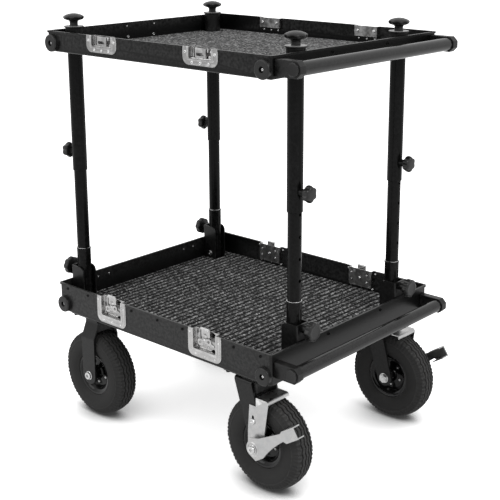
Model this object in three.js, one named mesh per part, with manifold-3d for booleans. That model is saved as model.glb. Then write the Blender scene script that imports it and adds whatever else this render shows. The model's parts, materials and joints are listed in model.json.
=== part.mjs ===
// A camera cart: a deep lower tray on four pneumatic wheels, and an upper tray on four telescoping posts.
// Millimetres, +Z up, the ground at zero. +X is the end with the push handles; the latches face -Y and +Y.
import * as THREE from 'three';
import { mergeVertices } from 'three/addons/utils/BufferGeometryUtils.js';
import Module from 'manifold-3d';

const wasm = await Module();
wasm.setup();

// Clearances and cutting: what rests on something, and what turns in a bore
const seat = 0.3;
const turning = 0.6;
const bite = 0.4;
const overrun = 2;
const weldDistance = 1e-4;
const sides = { wheel: 20, rim: 12, bore: 12, tube: 10, boss: 8, stud: 6, lobe: 2, corner: 2 };

// Trays; an inset is measured in from the end or the side of the rim
const tray = {
  length: 760, width: 636, lowerHeight: 77.5, upperHeight: 52,
  sheet: 3, corner: 7, lipOut: 2.5, lipHeight: 5, spread: 700.5,
};
const deck = { lower: 17.2, upper: 5, edge: 1.5, notchMargin: 3 };
const bumper = { inset: 23, radius: 21.5, height: 10, bevel: 2 };
const latch = {
  inset: 212, width: 110, plate: 1.5, corner: 16, dishHeight: 66, keeperHeight: 41,
  recess: 77, dishRecess: 50, keeperRecess: 28, depth: 11,
  hookWidth: 28, hookUp: 9, hookDown: 15, hookDepth: 8, hookSheet: 2, hookLip: 5,
  wing: 19.5, wingSheet: 2, hub: 9, drop: 25, leafGap: 1.6,
  bridge: 40, bridgeSheet: 3, bridgeHeight: 14, bridgeDrop: 2,
};

// Posts, measured up from the underside of the lower tray
const post = {
  inset: 34, leftInset: 63.5, rightInset: 120.5,
  lowerRadius: 16.75, lowerWall: 2, lowerTop: 522,
  socketRadius: 18.5, socketTop: 169, socketFoot: 4, ringRadius: 19.4, ringHeight: 3,
  slotWidth: 9, slotLow: 119, slotHigh: 146, slotDepth: 1.4,
  holeRadius: 4, holePitch: 53, holes: 4, pivot: 34, pivotRadius: 5,
  upperRadius: 19, upperWall: 1.9, plug: 10,
  knobHeight: 431, footDrop: 48, bossRadius: 9, bossReach: 30,
};
const bracket = {
  sheet: 3.5, web: 4, reach: 20, top: 117, corner: 16, clamp: 105,
  bossRadius: 10, bossReach: 15, boltHead: 8.5, boltHeight: 4,
};
const collar = { radius: 22, flange: 25, flangeHeight: 4, proud: 3.5, roof: 5 };

// Knobs: the stud, the neck and the lobed head
const topKnob = {
  stud: 6, studLength: 12, neck: 8.5, neckLength: 15, head: 25, height: 22, lobes: 8, flute: 0.12,
};
const clampKnob = {
  stud: 5, neck: 8.5, neckLength: 3, head: 24.5, height: 18, lobes: 8, flute: 0.12,
};
const heightKnob = {
  stud: 4, tip: 0.4, neck: 7, neckLength: 7, head: 20, height: 14, lobes: 6, flute: 0.22,
};

// Push handles
const handle = {
  axis: 52.5, bar: 16, barWall: 2.5, arm: 38, armThick: 20, inset: 12, cap: 14.5, capHeight: 3, chamfer: 11,
};

// Wheels and casters
const tyre = { radius: 118, halfWidth: 34.5 };
const rim = {
  barrel: 50, flange: 59, halfWidth: 25, edge: 3, sheet: 3,
  hub: 20, web: 4, webRadius: 44, dish: 9,
};
const axle = { radius: 8, head: 11.5, headHeight: 6, nut: 12, nutHeight: 8 };
const fork = {
  innerHalf: 37.5, sheet: 5, bend: 9, rise: 159.4,
  strap: 50, strapToe: 24, topHalf: 26, flareLow: 108, flareHigh: 147,
  legTop: 54, legToe: 22, crownRadius: 36,
};
const caster = {
  rigidInset: 89, swivelInset: 107, sideInset: 61, trail: 48,
  plateLength: 114, plateWidth: 102, plate: 5, corner: 8,
  raceTop: 38, raceLow: 33, raceHeight: 10, pin: 8, pinHead: 14, pinHeadHeight: 7,
};

// Brake on each swivel caster, measured from the axle
const brake = {
  plate: 3, travel: 2.7, play: 0.5,
  low: -16, waist: 27, waistLow: 0, waistHigh: 39, shoulderX: -22, shoulder: 103,
  shoeBack: -2, shoeFront: 39, roll: 7, shoeReach: 30, footHalf: 20, kneeX: 27, kneeZ: 34,
  guideX: -11, guideZ: 63, guideRadius: 3.5, guideHead: 8, guideHeadHeight: 4, slotRise: 14,
};
const lever = {
  sheet: 4, standOff: 9.5, hub: 14, angle: 33, reach: 152,
  pedal: 38, pedalHalf: 15, flange: 25, flangeSheet: 3, neckHigh: 11, neckLow: 8,
  cheek: 20, lobe: 28, lobeX: 7, shoulderX: 32, shoulderHigh: 18, heelX: 58, heelLow: 12,
  tab: 15, tabReach: 9,
};

// Heights that the sizes above give
const axleHeight = tyre.radius;
const treadReach = tyre.radius / Math.cos(Math.PI / sides.wheel);
const crownTop = axleHeight + fork.rise;
const plateLow = crownTop + seat + caster.raceHeight;
const lowerBase = plateLow + caster.plate + seat;
const upperBase = lowerBase + tray.spread;
const wallX = tray.length / 2 - tray.lipOut;
const wallY = tray.width / 2 - tray.lipOut;
const innerX = wallX - tray.sheet;
const innerY = wallY - tray.sheet;
const postX = tray.length / 2 - post.inset;
const latchX = tray.length / 2 - latch.inset;
const bumperX = tray.length / 2 - bumper.inset;
const armY = tray.width / 2 - handle.inset;
const casterY = tray.width / 2 - caster.sideInset;
const hubHalf = fork.innerHalf - seat;
const forkOuter = fork.innerHalf + fork.sheet;
const shoeInner = forkOuter + brake.play;
const leverInner = shoeInner + brake.plate + lever.standOff;
const leverOuter = leverInner + lever.sheet;

// Materials
const paint = (color, roughness, metalness) =>
  new THREE.MeshStandardMaterial({ color, roughness, metalness, flatShading: true });
const finish = {
  powder: paint(0x202124, 0.55, 0.2),
  tube: paint(0x17181a, 0.4, 0.3),
  plastic: paint(0x141416, 0.6, 0),
  carpet: paint(0x26272a, 0.95, 0),
  rubber: paint(0x2c2c2d, 0.85, 0),
  gloss: paint(0x0b0b0c, 0.25, 0.3),
  zinc: paint(0xb9bcc0, 0.32, 0.9),
};

// From a three.js geometry to a solid and back
function toSolid(geometry) {
  let shared = geometry;
  if (geometry.attributes.normal) {
    const bare = geometry.clone();
    bare.deleteAttribute('normal');
    bare.deleteAttribute('uv');
    shared = mergeVertices(bare, weldDistance);
  }
  const corners = shared.index.array;
  const kept = [];
  for (let i = 0; i < corners.length; i += 3) {
    const [a, b, c] = [corners[i], corners[i + 1], corners[i + 2]];
    if (a !== b && b !== c && c !== a) kept.push(a, b, c);
  }
  const vertProperties = Float32Array.from(shared.attributes.position.array);
  return new wasm.Manifold(new wasm.Mesh({ numProp: 3, vertProperties, triVerts: Uint32Array.from(kept) }));
}

function fromSolid(manifold) {
  const mesh = manifold.getMesh();
  const geometry = new THREE.BufferGeometry();
  geometry.setAttribute('position', new THREE.BufferAttribute(Float32Array.from(mesh.vertProperties), 3));
  geometry.setIndex(new THREE.BufferAttribute(Uint32Array.from(mesh.triVerts), 1));
  return geometry;
}

const join = (...pieces) => fromSolid(pieces.map(toSolid).reduce((a, b) => a.add(b)));
const cut = (piece, ...tools) =>
  fromSolid(tools.map(toSolid).reduce((a, b) => a.subtract(b), toSolid(piece)));
const meet = (...pieces) => fromSolid(pieces.map(toSolid).reduce((a, b) => a.intersect(b)));

// Basic forms
function block([x0, x1], [y0, y1], [z0, z1]) {
  const size = [Math.abs(x1 - x0), Math.abs(y1 - y0), Math.abs(z1 - z0)];
  return new THREE.BoxGeometry(...size).translate((x0 + x1) / 2, (y0 + y1) / 2, (z0 + z1) / 2);
}

const axes = {
  x: new THREE.Vector3(1, 0, 0),
  y: new THREE.Vector3(0, 1, 0),
  z: new THREE.Vector3(0, 0, 1),
};

// A shape drawn across an axis and pushed along it: drawn in (Y, Z) for x, (X, Z) for y and (X, Y) for z
function extrude(shape, axis, from, to, curveSegments = sides.corner) {
  const low = Math.min(from, to);
  const high = Math.max(from, to);
  const settings = { depth: high - low, bevelEnabled: false, curveSegments };
  const geometry = new THREE.ExtrudeGeometry(shape, settings);
  const turn = new THREE.Matrix4();
  if (axis === 'x') turn.makeBasis(axes.y, axes.z, axes.x);
  if (axis === 'y') turn.makeBasis(axes.x, axes.z, axes.y.clone().negate());
  const start = axis === 'y' ? high : low;
  return geometry.applyMatrix4(turn).translate(...axes[axis].clone().multiplyScalar(start).toArray());
}

// A profile of [radius, height] turned round an axis, closed on itself where it doesn't meet the axis
function turned(profile, axis = 'z', segments = sides.tube) {
  const points = profile.map(([r, h]) => new THREE.Vector2(r, h));
  const first = points[0];
  const last = points[points.length - 1];
  if (first.x > 0 || last.x > 0) points.push(first.clone());
  const geometry = new THREE.LatheGeometry(points, segments);
  const turn = new THREE.Matrix4();
  if (axis === 'x') turn.makeBasis(axes.z.clone().negate(), axes.x, axes.y.clone().negate());
  if (axis === 'z') turn.makeBasis(axes.x, axes.z, axes.y.clone().negate());
  return geometry.applyMatrix4(turn);
}

const rod = (radius, axis, from, to, segments = sides.stud) =>
  turned([[0, Math.min(from, to)], [radius, Math.min(from, to)], [radius, Math.max(from, to)],
    [0, Math.max(from, to)]], axis, segments);

function outline(points) {
  return new THREE.Shape(points.map(([x, y]) => new THREE.Vector2(x, y)));
}

// A rectangle with round corners: all four, or only the two lower ones
function roundedRectangle(x0, x1, y0, y1, low, high = low) {
  const shape = new THREE.Shape();
  shape.moveTo(x0 + low, y0);
  shape.lineTo(x1 - low, y0);
  shape.absarc(x1 - low, y0 + low, low, -Math.PI / 2, 0);
  shape.lineTo(x1, y1 - high);
  if (high > 0) shape.absarc(x1 - high, y1 - high, high, 0, Math.PI / 2);
  shape.lineTo(x0 + high, y1);
  if (high > 0) shape.absarc(x0 + high, y1 - high, high, Math.PI / 2, Math.PI);
  shape.lineTo(x0, y0 + low);
  shape.absarc(x0 + low, y0 + low, low, Math.PI, Math.PI * 3 / 2);
  return shape;
}

const centredRectangle = (length, width, radius) =>
  roundedRectangle(-length / 2, length / 2, -width / 2, width / 2, radius);

// The angle at which a line from a point outside a circle touches it
function touchAngle([px, py], [cx, cy], radius, hand) {
  const distance = Math.hypot(px - cx, py - cy);
  return Math.atan2(py - cy, px - cx) + hand * Math.acos(radius / distance);
}

// A head whose rings have flutes, closed by a point above and below
function lobedHead(rings, lobes) {
  const count = sides.lobe * lobes;
  const positions = [0, 0, rings[0].height];
  for (const { height, radius, flute } of rings) {
    for (let i = 0; i < count; i += 1) {
      const angle = i / count * Math.PI * 2;
      const r = radius * (1 - flute * (1 - Math.cos(lobes * angle)) / 2);
      positions.push(r * Math.cos(angle), r * Math.sin(angle), height);
    }
  }
  positions.push(0, 0, rings[rings.length - 1].height);
  const top = rings.length * count + 1;
  const index = [];
  for (let i = 0; i < count; i += 1) {
    const j = (i + 1) % count;
    index.push(0, 1 + j, 1 + i);
    for (let k = 0; k < rings.length - 1; k += 1) {
      const low = 1 + k * count;
      const high = low + count;
      index.push(low + i, low + j, high + j, low + i, high + j, high + i);
    }
    index.push(top, top - count + i, top - count + j);
  }
  const geometry = new THREE.BufferGeometry();
  geometry.setAttribute('position', new THREE.BufferAttribute(new Float32Array(positions), 3));
  geometry.setIndex(index);
  return geometry;
}

// A knob that stands on its seat at zero and points up: heights and radii of the head are shares of its size
const headShares = [[0, 0.38, 0], [0.35, 0.98, 1], [0.68, 0.95, 0.8], [1, 0.5, 0]];
function knobForm(knob, studLength) {
  const foot = knob.neckLength;
  const rings = headShares.map(([high, wide, fluted]) => (
    { height: foot + high * knob.height, radius: wide * knob.head, flute: fluted * knob.flute }));
  const stem = turned([
    [0, -studLength], [knob.stud, -studLength], [knob.stud, 0], [knob.neck, 0],
    [knob.neck, foot + bite], [0, foot + bite]], 'z', sides.stud);
  return join(stem, lobedHead(rings, knob.lobes));
}

// The cart is a tree: the lower body, the shelf that slides on it, and what turns on either
const cart = new THREE.Group();
const carriage = new THREE.Group();
const shelf = new THREE.Group();
cart.add(carriage, shelf);

function place(parent, name, geometry, material, position = [0, 0, 0]) {
  const mesh = new THREE.Mesh(geometry, material);
  mesh.name = name;
  mesh.position.set(...position);
  parent.add(mesh);
  return mesh;
}

// Latch hardware, drawn for the wall that faces -Y, with the wall's outer face at y = 0 and the rim at z = 0
function latchPlate(height, recess) {
  const face = latch.plate;
  const half = latch.width / 2;
  const flange = extrude(roundedRectangle(-half, half, -height, 0, latch.corner, 0), 'y', -face, bite);
  const box = block([-latch.recess / 2, latch.recess / 2], [-bite / 2, latch.depth + face], [-recess, 0]);
  const inner = latch.recess / 2 - face;
  const hollow = block([-inner, inner], [-face - overrun, latch.depth], [face - recess, overrun]);
  return cut(join(flange, box), hollow);
}

function latchHook() {
  const front = latch.depth - latch.hookDepth;
  const profile = outline([
    [latch.depth + bite, -latch.hookDown], [latch.depth + bite, -latch.hookDown + latch.hookSheet],
    [front + latch.hookSheet, -latch.hookDown + latch.hookSheet], [front + latch.hookSheet, latch.hookUp],
    [front - latch.hookLip, latch.hookUp], [front - latch.hookLip, latch.hookUp - latch.hookSheet],
    [front, latch.hookUp - latch.hookSheet], [front, -latch.hookDown]]);
  return extrude(profile, 'x', -latch.hookWidth / 2, latch.hookWidth / 2);
}

function keeperBridge() {
  const half = latch.bridge / 2;
  const inner = half - latch.bridgeSheet;
  const front = latch.bridgeSheet / 2;
  const staple = outline([
    [-half, latch.depth + bite], [-half, front], [half, front], [half, latch.depth + bite],
    [inner, latch.depth + bite], [inner, front + latch.bridgeSheet], [-inner, front + latch.bridgeSheet],
    [-inner, latch.depth + bite]]);
  return extrude(staple, 'z', -latch.bridgeDrop - latch.bridgeHeight, -latch.bridgeDrop);
}

// The two leaves of a latch's turning handle, on a hub that runs back to the dish
function latchWing() {
  const front = latch.plate;
  const disc = turned([[0, -front], [latch.wing, -front], [latch.wing, -front + latch.wingSheet],
    [0, -front + latch.wingSheet]], 'y', sides.tube);
  const parting = block([-latch.leafGap / 2, latch.leafGap / 2],
    [-front - overrun, -front + latch.wingSheet + overrun], [latch.hub, latch.wing + overrun]);
  const hub = rod(latch.hub, 'y', -front - latch.plate, latch.depth - seat, sides.boss);
  return join(cut(disc, parting, parting.clone().rotateY(Math.PI)), hub);
}

function bumperDisc() {
  const { radius, height, bevel } = bumper;
  return turned([[0, -height], [radius - bevel, -height], [radius, bevel - height], [radius, bite],
    [0, bite]], 'y');
}

// Both long walls carry the same hardware: the far wall's is the near wall's, turned half round
function onBothWalls(form, x, z) {
  const near = form.clone().translate(x, -wallY, z);
  return [near, near.clone().rotateZ(Math.PI)];
}

// A tray of folded sheet: floor, walls, an outward lip and its latch hardware
function trayForm(base, height, plateHeight, recess, catchForm) {
  const top = base + height;
  const outer = extrude(centredRectangle(wallX * 2, wallY * 2, tray.corner), 'z', base, top);
  const lip = extrude(centredRectangle(tray.length, tray.width, tray.corner), 'z', top - tray.lipHeight, top);
  const well = extrude(centredRectangle(innerX * 2, innerY * 2, tray.corner - tray.sheet), 'z',
    base + tray.sheet, top + overrun);
  let form = cut(join(outer, lip), well);
  const opening = block([-latch.recess / 2, latch.recess / 2], [-tray.lipOut - overrun, tray.sheet + overrun],
    [-recess, overrun]);
  const lipGap = block([-latch.width / 2, latch.width / 2], [-tray.lipOut - overrun, 0],
    [-tray.lipHeight - overrun, overrun]);
  const plate = latchPlate(plateHeight, recess);
  for (const x of [-latchX, latchX]) {
    form = cut(form, ...onBothWalls(opening, x, top), ...onBothWalls(lipGap, x, top));
    form = join(form, ...onBothWalls(plate, x, top), ...onBothWalls(catchForm, x, top));
  }
  for (const x of [-bumperX, bumperX]) {
    form = join(form, ...onBothWalls(bumperDisc(), x, base + height / 2));
  }
  return form;
}

// The posts stand closer together at the handle end
const leftY = tray.width / 2 - post.leftInset;
const rightY = tray.width / 2 - post.rightInset;
const corners = [
  { name: 'front_left', x: -postX, y: -leftY, out: -1 },
  { name: 'rear_left', x: -postX, y: leftY, out: -1 },
  { name: 'front_right', x: postX, y: -rightY, out: 1 },
  { name: 'rear_right', x: postX, y: rightY, out: 1 },
];

// A carpeted deck, cut away round the fittings at the post corners
function deckForm(base, thickness, notchInner, notchHalf) {
  const floor = base + tray.sheet + seat;
  const half = [innerX - deck.edge, innerY - deck.edge];
  const sheet = extrude(centredRectangle(half[0] * 2, half[1] * 2, tray.corner - tray.sheet), 'z',
    floor, floor + thickness);
  const notches = corners.map(({ x, y, out }) => block(
    [out * notchInner, out * (innerX + overrun)], [y - notchHalf, y + notchHalf],
    [floor - overrun, floor + thickness + overrun]));
  return cut(sheet, ...notches);
}

// The channel that holds a post's foot, with its pivot bolt and the clamp knob's boss, for the -X or +X end
function bracketForm(out) {
  const earInner = post.socketRadius + seat;
  const earOuter = earInner + bracket.sheet;
  const webOuter = innerX - seat - postX;
  const webInner = webOuter - bracket.web;
  const low = lowerBase + tray.sheet + seat;
  const high = lowerBase + bracket.top;
  const channel = outline([
    [-bracket.reach, -earOuter], [webOuter, -earOuter], [webOuter, earOuter], [-bracket.reach, earOuter],
    [-bracket.reach, earInner], [webInner, earInner], [webInner, -earInner], [-bracket.reach, -earInner]]);
  const side = new THREE.Shape();
  side.moveTo(-bracket.reach, low);
  side.lineTo(webOuter, low);
  side.lineTo(webOuter, high);
  side.lineTo(bracket.corner - bracket.reach, high);
  side.absarc(bracket.corner - bracket.reach, high - bracket.corner, bracket.corner, Math.PI / 2, Math.PI);
  const folded = meet(extrude(channel, 'z', low, high), extrude(side, 'y', -earOuter, earOuter));
  const clamp = lowerBase + bracket.clamp;
  const boss = rod(bracket.bossRadius, 'x', webOuter - bite, webOuter + bracket.bossReach, sides.boss);
  const bore = rod(clampKnob.stud + seat, 'x', webInner - overrun, webOuter + bracket.bossReach + overrun,
    sides.bore);
  const head = earOuter + bracket.boltHeight;
  const under = earOuter - bite;
  const bolt = turned([
    [0, -head], [bracket.boltHead, -head], [bracket.boltHead, -under], [post.pivotRadius, -under],
    [post.pivotRadius, under], [bracket.boltHead, under], [bracket.boltHead, head], [0, head]], 'y',
  sides.stud);
  const drilled = cut(join(folded, boss.translate(0, 0, clamp)), bore.translate(0, 0, clamp));
  const form = join(drilled, bolt.translate(0, 0, lowerBase + post.pivot));
  return out > 0 ? form : form.rotateZ(Math.PI);
}

// The fixed half of a post: a slotted socket with a bright ring, and the perforated tube that rises from it
function lowerPostForm(out) {
  const foot = lowerBase + tray.sheet + post.socketFoot;
  const ringTop = lowerBase + post.socketTop;
  const bore = post.lowerRadius - post.lowerWall;
  const top = lowerBase + post.lowerTop;
  let form = turned([
    [bore, foot], [post.socketRadius, foot], [post.socketRadius, ringTop - post.ringHeight],
    [post.ringRadius, ringTop - post.ringHeight], [post.ringRadius, ringTop],
    [post.lowerRadius, ringTop], [post.lowerRadius, top], [bore, top]]);
  const half = post.slotWidth / 2;
  const floor = post.socketRadius - post.slotDepth;
  const slot = block([floor, post.socketRadius + overrun], [-half, half],
    [lowerBase + post.slotLow, lowerBase + post.slotHigh]);
  for (let quarter = 0; quarter < 4; quarter += 1) {
    form = cut(form, slot.clone().rotateZ(quarter * Math.PI / 2));
  }
  const hole = rod(post.holeRadius, 'x', 0, out * (post.lowerRadius + overrun));
  for (let i = 0; i < post.holes; i += 1) {
    form = cut(form, hole.clone().translate(0, 0, lowerBase + post.knobHeight - (i + 1) * post.holePitch));
  }
  const pivot = rod(post.pivotRadius + seat, 'y', -post.socketRadius - overrun, post.socketRadius + overrun);
  return cut(form, pivot.translate(0, 0, lowerBase + post.pivot));
}

// The sliding half of a post: it ends in a drilled plug under the collar, and carries the height knob's boss
function upperPostForm(out) {
  const foot = lowerBase + post.knobHeight - post.footDrop;
  const top = upperBase + tray.upperHeight + collar.proud - collar.roof - seat;
  const bore = post.upperRadius - post.upperWall;
  const screw = topKnob.stud + turning;
  const tube = turned([
    [bore, foot], [post.upperRadius, foot], [post.upperRadius, top], [screw, top], [screw, top - post.plug],
    [bore, top - post.plug]]);
  const height = lowerBase + post.knobHeight;
  const boss = rod(post.bossRadius, 'x', 0, out * post.bossReach, sides.boss);
  const hole = rod(heightKnob.stud + seat, 'x', out * (bore - overrun), out * (post.bossReach + overrun),
    sides.bore);
  const clear = post.bossRadius + overrun;
  const open = rod(bore, 'z', height - clear, height + clear, sides.tube);
  return cut(join(tube, boss.translate(0, 0, height)), hole.translate(0, 0, height), open);
}

// The cup in the upper tray that takes a post's head: a bored body with a flange and a roof
function collarForm() {
  const floor = upperBase + tray.sheet - bite;
  const top = upperBase + tray.upperHeight + collar.proud;
  const bore = post.upperRadius + seat;
  const screw = topKnob.stud + turning;
  return turned([
    [bore, floor], [collar.radius, floor], [collar.radius, top - collar.flangeHeight],
    [collar.flange, top - collar.flangeHeight], [collar.flange, top], [screw, top],
    [screw, top - collar.roof], [bore, top - collar.roof]]);
}

// Trays and decks
const lowerTray = trayForm(lowerBase, tray.lowerHeight, latch.dishHeight, latch.dishRecess, latchHook());
let upperTray =
  trayForm(upperBase, tray.upperHeight, latch.keeperHeight, latch.keeperRecess, keeperBridge());
for (const { x, y } of corners) {
  const hole = rod(post.upperRadius + seat, 'z', upperBase - overrun, upperBase + tray.sheet + overrun,
    sides.tube);
  upperTray = join(cut(upperTray, hole.translate(x, y, 0)), collarForm().translate(x, y, 0));
}
place(carriage, 'lower_tray', lowerTray, finish.powder);
place(shelf, 'upper_tray', upperTray, finish.powder);

const bracketNotch = [
  postX - bracket.reach - deck.notchMargin, post.socketRadius + seat + bracket.sheet + deck.notchMargin];
const collarNotch = [postX - collar.flange - deck.notchMargin, collar.flange + deck.notchMargin];
place(carriage, 'lower_deck', deckForm(lowerBase, deck.lower, ...bracketNotch), finish.carpet);
place(shelf, 'upper_deck', deckForm(upperBase, deck.upper, ...collarNotch), finish.carpet);

// Posts with their brackets and knobs
const lowerPost = { '-1': lowerPostForm(-1), 1: lowerPostForm(1) };
const upperPost = { '-1': upperPostForm(-1), 1: upperPostForm(1) };
const brackets = { '-1': bracketForm(-1), 1: bracketForm(1) };
const webFace = innerX - seat - postX;
const clampSeat = webFace + bracket.bossReach + seat;
const clampStud = clampSeat - post.socketRadius - seat;
const heightSeat = post.bossReach + seat;
const heightStud = heightSeat - post.upperRadius + heightKnob.tip;
const topSeat = upperBase + tray.upperHeight + collar.proud + seat;
for (const { name, x, y, out } of corners) {
  place(carriage, `post_bracket_${name}`, brackets[out], finish.powder, [x, y, 0]);
  place(carriage, `lower_post_${name}`, lowerPost[out], finish.tube, [x, y, 0]);
  place(shelf, `upper_post_${name}`, upperPost[out], finish.tube, [x, y, 0]);
  const turn = out * Math.PI / 2;
  place(carriage, `clamp_knob_${name}`, knobForm(clampKnob, clampStud).rotateY(turn), finish.plastic,
    [x + out * clampSeat, y, lowerBase + bracket.clamp]);
  place(shelf, `height_knob_${name}`, knobForm(heightKnob, heightStud).rotateY(turn), finish.plastic,
    [x + out * heightSeat, y, lowerBase + post.knobHeight]);
  place(shelf, `top_knob_${name}`, knobForm(topKnob, topKnob.studLength), finish.plastic, [x, y, topSeat]);
}

// A handle arm: a flat bar whose outer end is chamfered to half an octagon, with a round bolt cap
function armForm(side) {
  const root = wallX + seat;
  const tip = wallX + handle.axis + handle.arm / 2;
  const half = handle.arm / 2;
  const shape = outline([[root, -half], [tip - handle.chamfer, -half], [tip, handle.chamfer - half],
    [tip, half - handle.chamfer], [tip - handle.chamfer, half], [root, half]]);
  const inner = side * (armY - handle.armThick);
  const outer = side * armY;
  const cap = rod(handle.cap, 'y', outer - side * bite, outer + side * handle.capHeight, sides.tube);
  return join(extrude(shape, 'y', inner, outer), cap.translate(wallX + handle.axis, 0, 0));
}

function barForm() {
  const end = armY - handle.armThick - seat;
  const bore = handle.bar - handle.barWall;
  return turned([[bore, -end], [handle.bar, -end], [handle.bar, end], [bore, end]], 'y');
}

for (const [body, prefix, middle] of [
  [carriage, 'lower', lowerBase + tray.lowerHeight / 2],
  [shelf, 'upper', upperBase + tray.upperHeight / 2]]) {
  place(body, `${prefix}_handle_bar`, barForm(), finish.tube, [wallX + handle.axis, 0, middle]);
  place(body, `${prefix}_handle_arm_front`, armForm(-1), finish.powder, [0, 0, middle]);
  place(body, `${prefix}_handle_arm_rear`, armForm(1), finish.powder, [0, 0, middle]);
}

// Latch handles in the four dishes
for (const { name, x, y } of corners) {
  const wing = y < 0 ? latchWing() : latchWing().rotateZ(Math.PI);
  place(carriage, `latch_wing_${name}`, wing, finish.zinc,
    [Math.sign(x) * latchX, Math.sign(y) * wallY, lowerBase + tray.lowerHeight - latch.drop]);
}

// A pneumatic tyre on its steel rim: half profiles of [radius, distance from the middle], mirrored
const mirrored = (half) => [...half, ...half.map(([r, h]) => [r, -h]).reverse()];

// The sidewall from the rim's lip to the tread: heights and half widths are shares of its own
const sidewallShares = [[0.4, 1], [0.76, 0.92], [1, 0.45]];
function tyreForm() {
  const clear = 1 / Math.cos(Math.PI / sides.wheel);
  const foot = (rim.barrel + seat) * clear;
  const lip = (rim.flange + seat) * clear;
  const rise = treadReach - lip;
  const bead = [[foot, -(rim.halfWidth - rim.edge * 2)], [lip, -(rim.halfWidth - seat)]];
  const wall = sidewallShares.map(([high, wide]) => [lip + rise * high, -tyre.halfWidth * wide]);
  return turned(mirrored([...bead, ...wall]), 'y', sides.wheel).rotateY(Math.PI / sides.wheel);
}

function rimForm() {
  const bore = axle.radius + seat;
  const inner = rim.barrel - rim.sheet;
  const half = [
    [bore, -hubHalf], [rim.hub, -hubHalf], [rim.hub, -rim.dish], [rim.webRadius, -rim.web / 2],
    [inner, -(rim.halfWidth - rim.edge)], [rim.flange, -rim.halfWidth],
    [rim.barrel, -(rim.halfWidth - rim.edge * 2)],
  ];
  return turned(mirrored(half), 'y', sides.rim);
}

// An axle bolt from its head outside to its nut inside; side is the way that its head points
function axleForm(side, headFace) {
  const nutFace = forkOuter + seat;
  const outer = headFace + seat;
  const headEnd = outer + axle.headHeight;
  const nutEnd = nutFace + axle.nutHeight;
  const form = turned([
    [0, -headEnd], [axle.head, -headEnd], [axle.head, -outer], [axle.radius, -outer],
    [axle.radius, nutFace], [axle.nut, nutFace], [axle.nut, nutEnd], [0, nutEnd]], 'y', sides.stud);
  return side < 0 ? form : form.rotateZ(Math.PI);
}

const axleBore = (from, to) => rod(axle.radius + seat, 'y', from, to, sides.bore);
const plateOutline = centredRectangle(caster.plateLength, caster.plateWidth, caster.corner);
const plateForm = (low) => extrude(plateOutline, 'z', low, low + caster.plate);

// A rigid caster's fork about its axle: two straps, narrow under the plate and flared to clear the tyre
function rigidForkForm() {
  const top = plateLow - axleHeight;
  const foot = -fork.strapToe;
  const outer = forkOuter;
  const inner = fork.innerHalf;
  const flare = Math.atan2(outer - fork.topHalf, fork.flareHigh - fork.flareLow);
  const mitre = fork.sheet * Math.tan(flare / 2);
  const half = [
    [inner, foot], [outer, foot], [outer, fork.flareLow], [fork.topHalf, fork.flareHigh],
    [fork.topHalf, top + bite], [fork.topHalf - fork.sheet, top + bite],
    [fork.topHalf - fork.sheet, fork.flareHigh - mitre], [inner, fork.flareLow - mitre],
  ];
  const width = fork.strap / 2;
  const toe = new THREE.Shape();
  toe.moveTo(width, top + caster.plate);
  toe.lineTo(-width, top + caster.plate);
  toe.lineTo(-width, 0);
  toe.absarc(0, 0, width, Math.PI, Math.PI * 2);
  const wide = outer + overrun;
  const straps = [1, -1].map((s) => extrude(outline(half.map(([y, z]) => [s * y, z])), 'x', -width, width));
  const shaped = straps.map((strap) => meet(strap, extrude(toe, 'y', -wide, wide, sides.stud)));
  return cut(join(...shaped, plateForm(top)), axleBore(-wide, wide));
}

// A swivel caster's fork about its axle: a bent crown and two legs that taper back to the axle
function swivelForkForm(side) {
  const top = fork.rise;
  const outer = forkOuter;
  const inner = fork.innerHalf;
  const under = top - fork.sheet;
  const innerBend = fork.bend - fork.sheet;
  const foot = -fork.legToe;
  const arch = new THREE.Shape();
  arch.moveTo(outer, foot);
  arch.lineTo(outer, top - fork.bend);
  arch.absarc(outer - fork.bend, top - fork.bend, fork.bend, 0, Math.PI / 2);
  arch.lineTo(fork.bend - outer, top);
  arch.absarc(fork.bend - outer, top - fork.bend, fork.bend, Math.PI / 2, Math.PI);
  arch.lineTo(-outer, foot);
  arch.lineTo(-inner, foot);
  arch.lineTo(-inner, under - innerBend);
  arch.absarc(innerBend - inner, under - innerBend, innerBend, Math.PI, Math.PI / 2, true);
  arch.lineTo(inner - innerBend, under);
  arch.absarc(inner - innerBend, under - innerBend, innerBend, Math.PI / 2, 0, true);
  arch.lineTo(inner, foot);
  const backTop = [-caster.trail - fork.legTop / 2, top];
  const frontTop = [-caster.trail + fork.legTop / 2, top];
  const leg = new THREE.Shape();
  leg.moveTo(...frontTop);
  leg.lineTo(...backTop);
  leg.absarc(0, 0, fork.legToe, touchAngle(backTop, [0, 0], fork.legToe, 1),
    touchAngle(frontTop, [0, 0], fork.legToe, -1) + Math.PI * 2);
  const wide = outer + overrun;
  const legs = meet(
    extrude(arch, 'x', backTop[0] - overrun, fork.legToe + overrun),
    extrude(leg, 'y', -wide, wide, sides.stud));
  const crown = rod(fork.crownRadius, 'z', under, top, sides.tube).translate(-caster.trail, 0, 0);
  const pinHole = rod(caster.pin + seat, 'z', under - overrun, top + overrun, sides.bore);
  const guideFace = shoeInner + brake.plate + brake.play;
  const guide = rod(brake.guideRadius, 'y', side * (outer - bite), side * (guideFace + bite));
  const guideHead = rod(brake.guideHead, 'y', side * guideFace, side * (guideFace + brake.guideHeadHeight));
  const at = [brake.guideX, 0, brake.guideZ];
  return join(
    cut(join(legs, crown), pinHole.translate(-caster.trail, 0, 0), axleBore(-wide, wide)),
    join(guide, guideHead).translate(...at));
}

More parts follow.
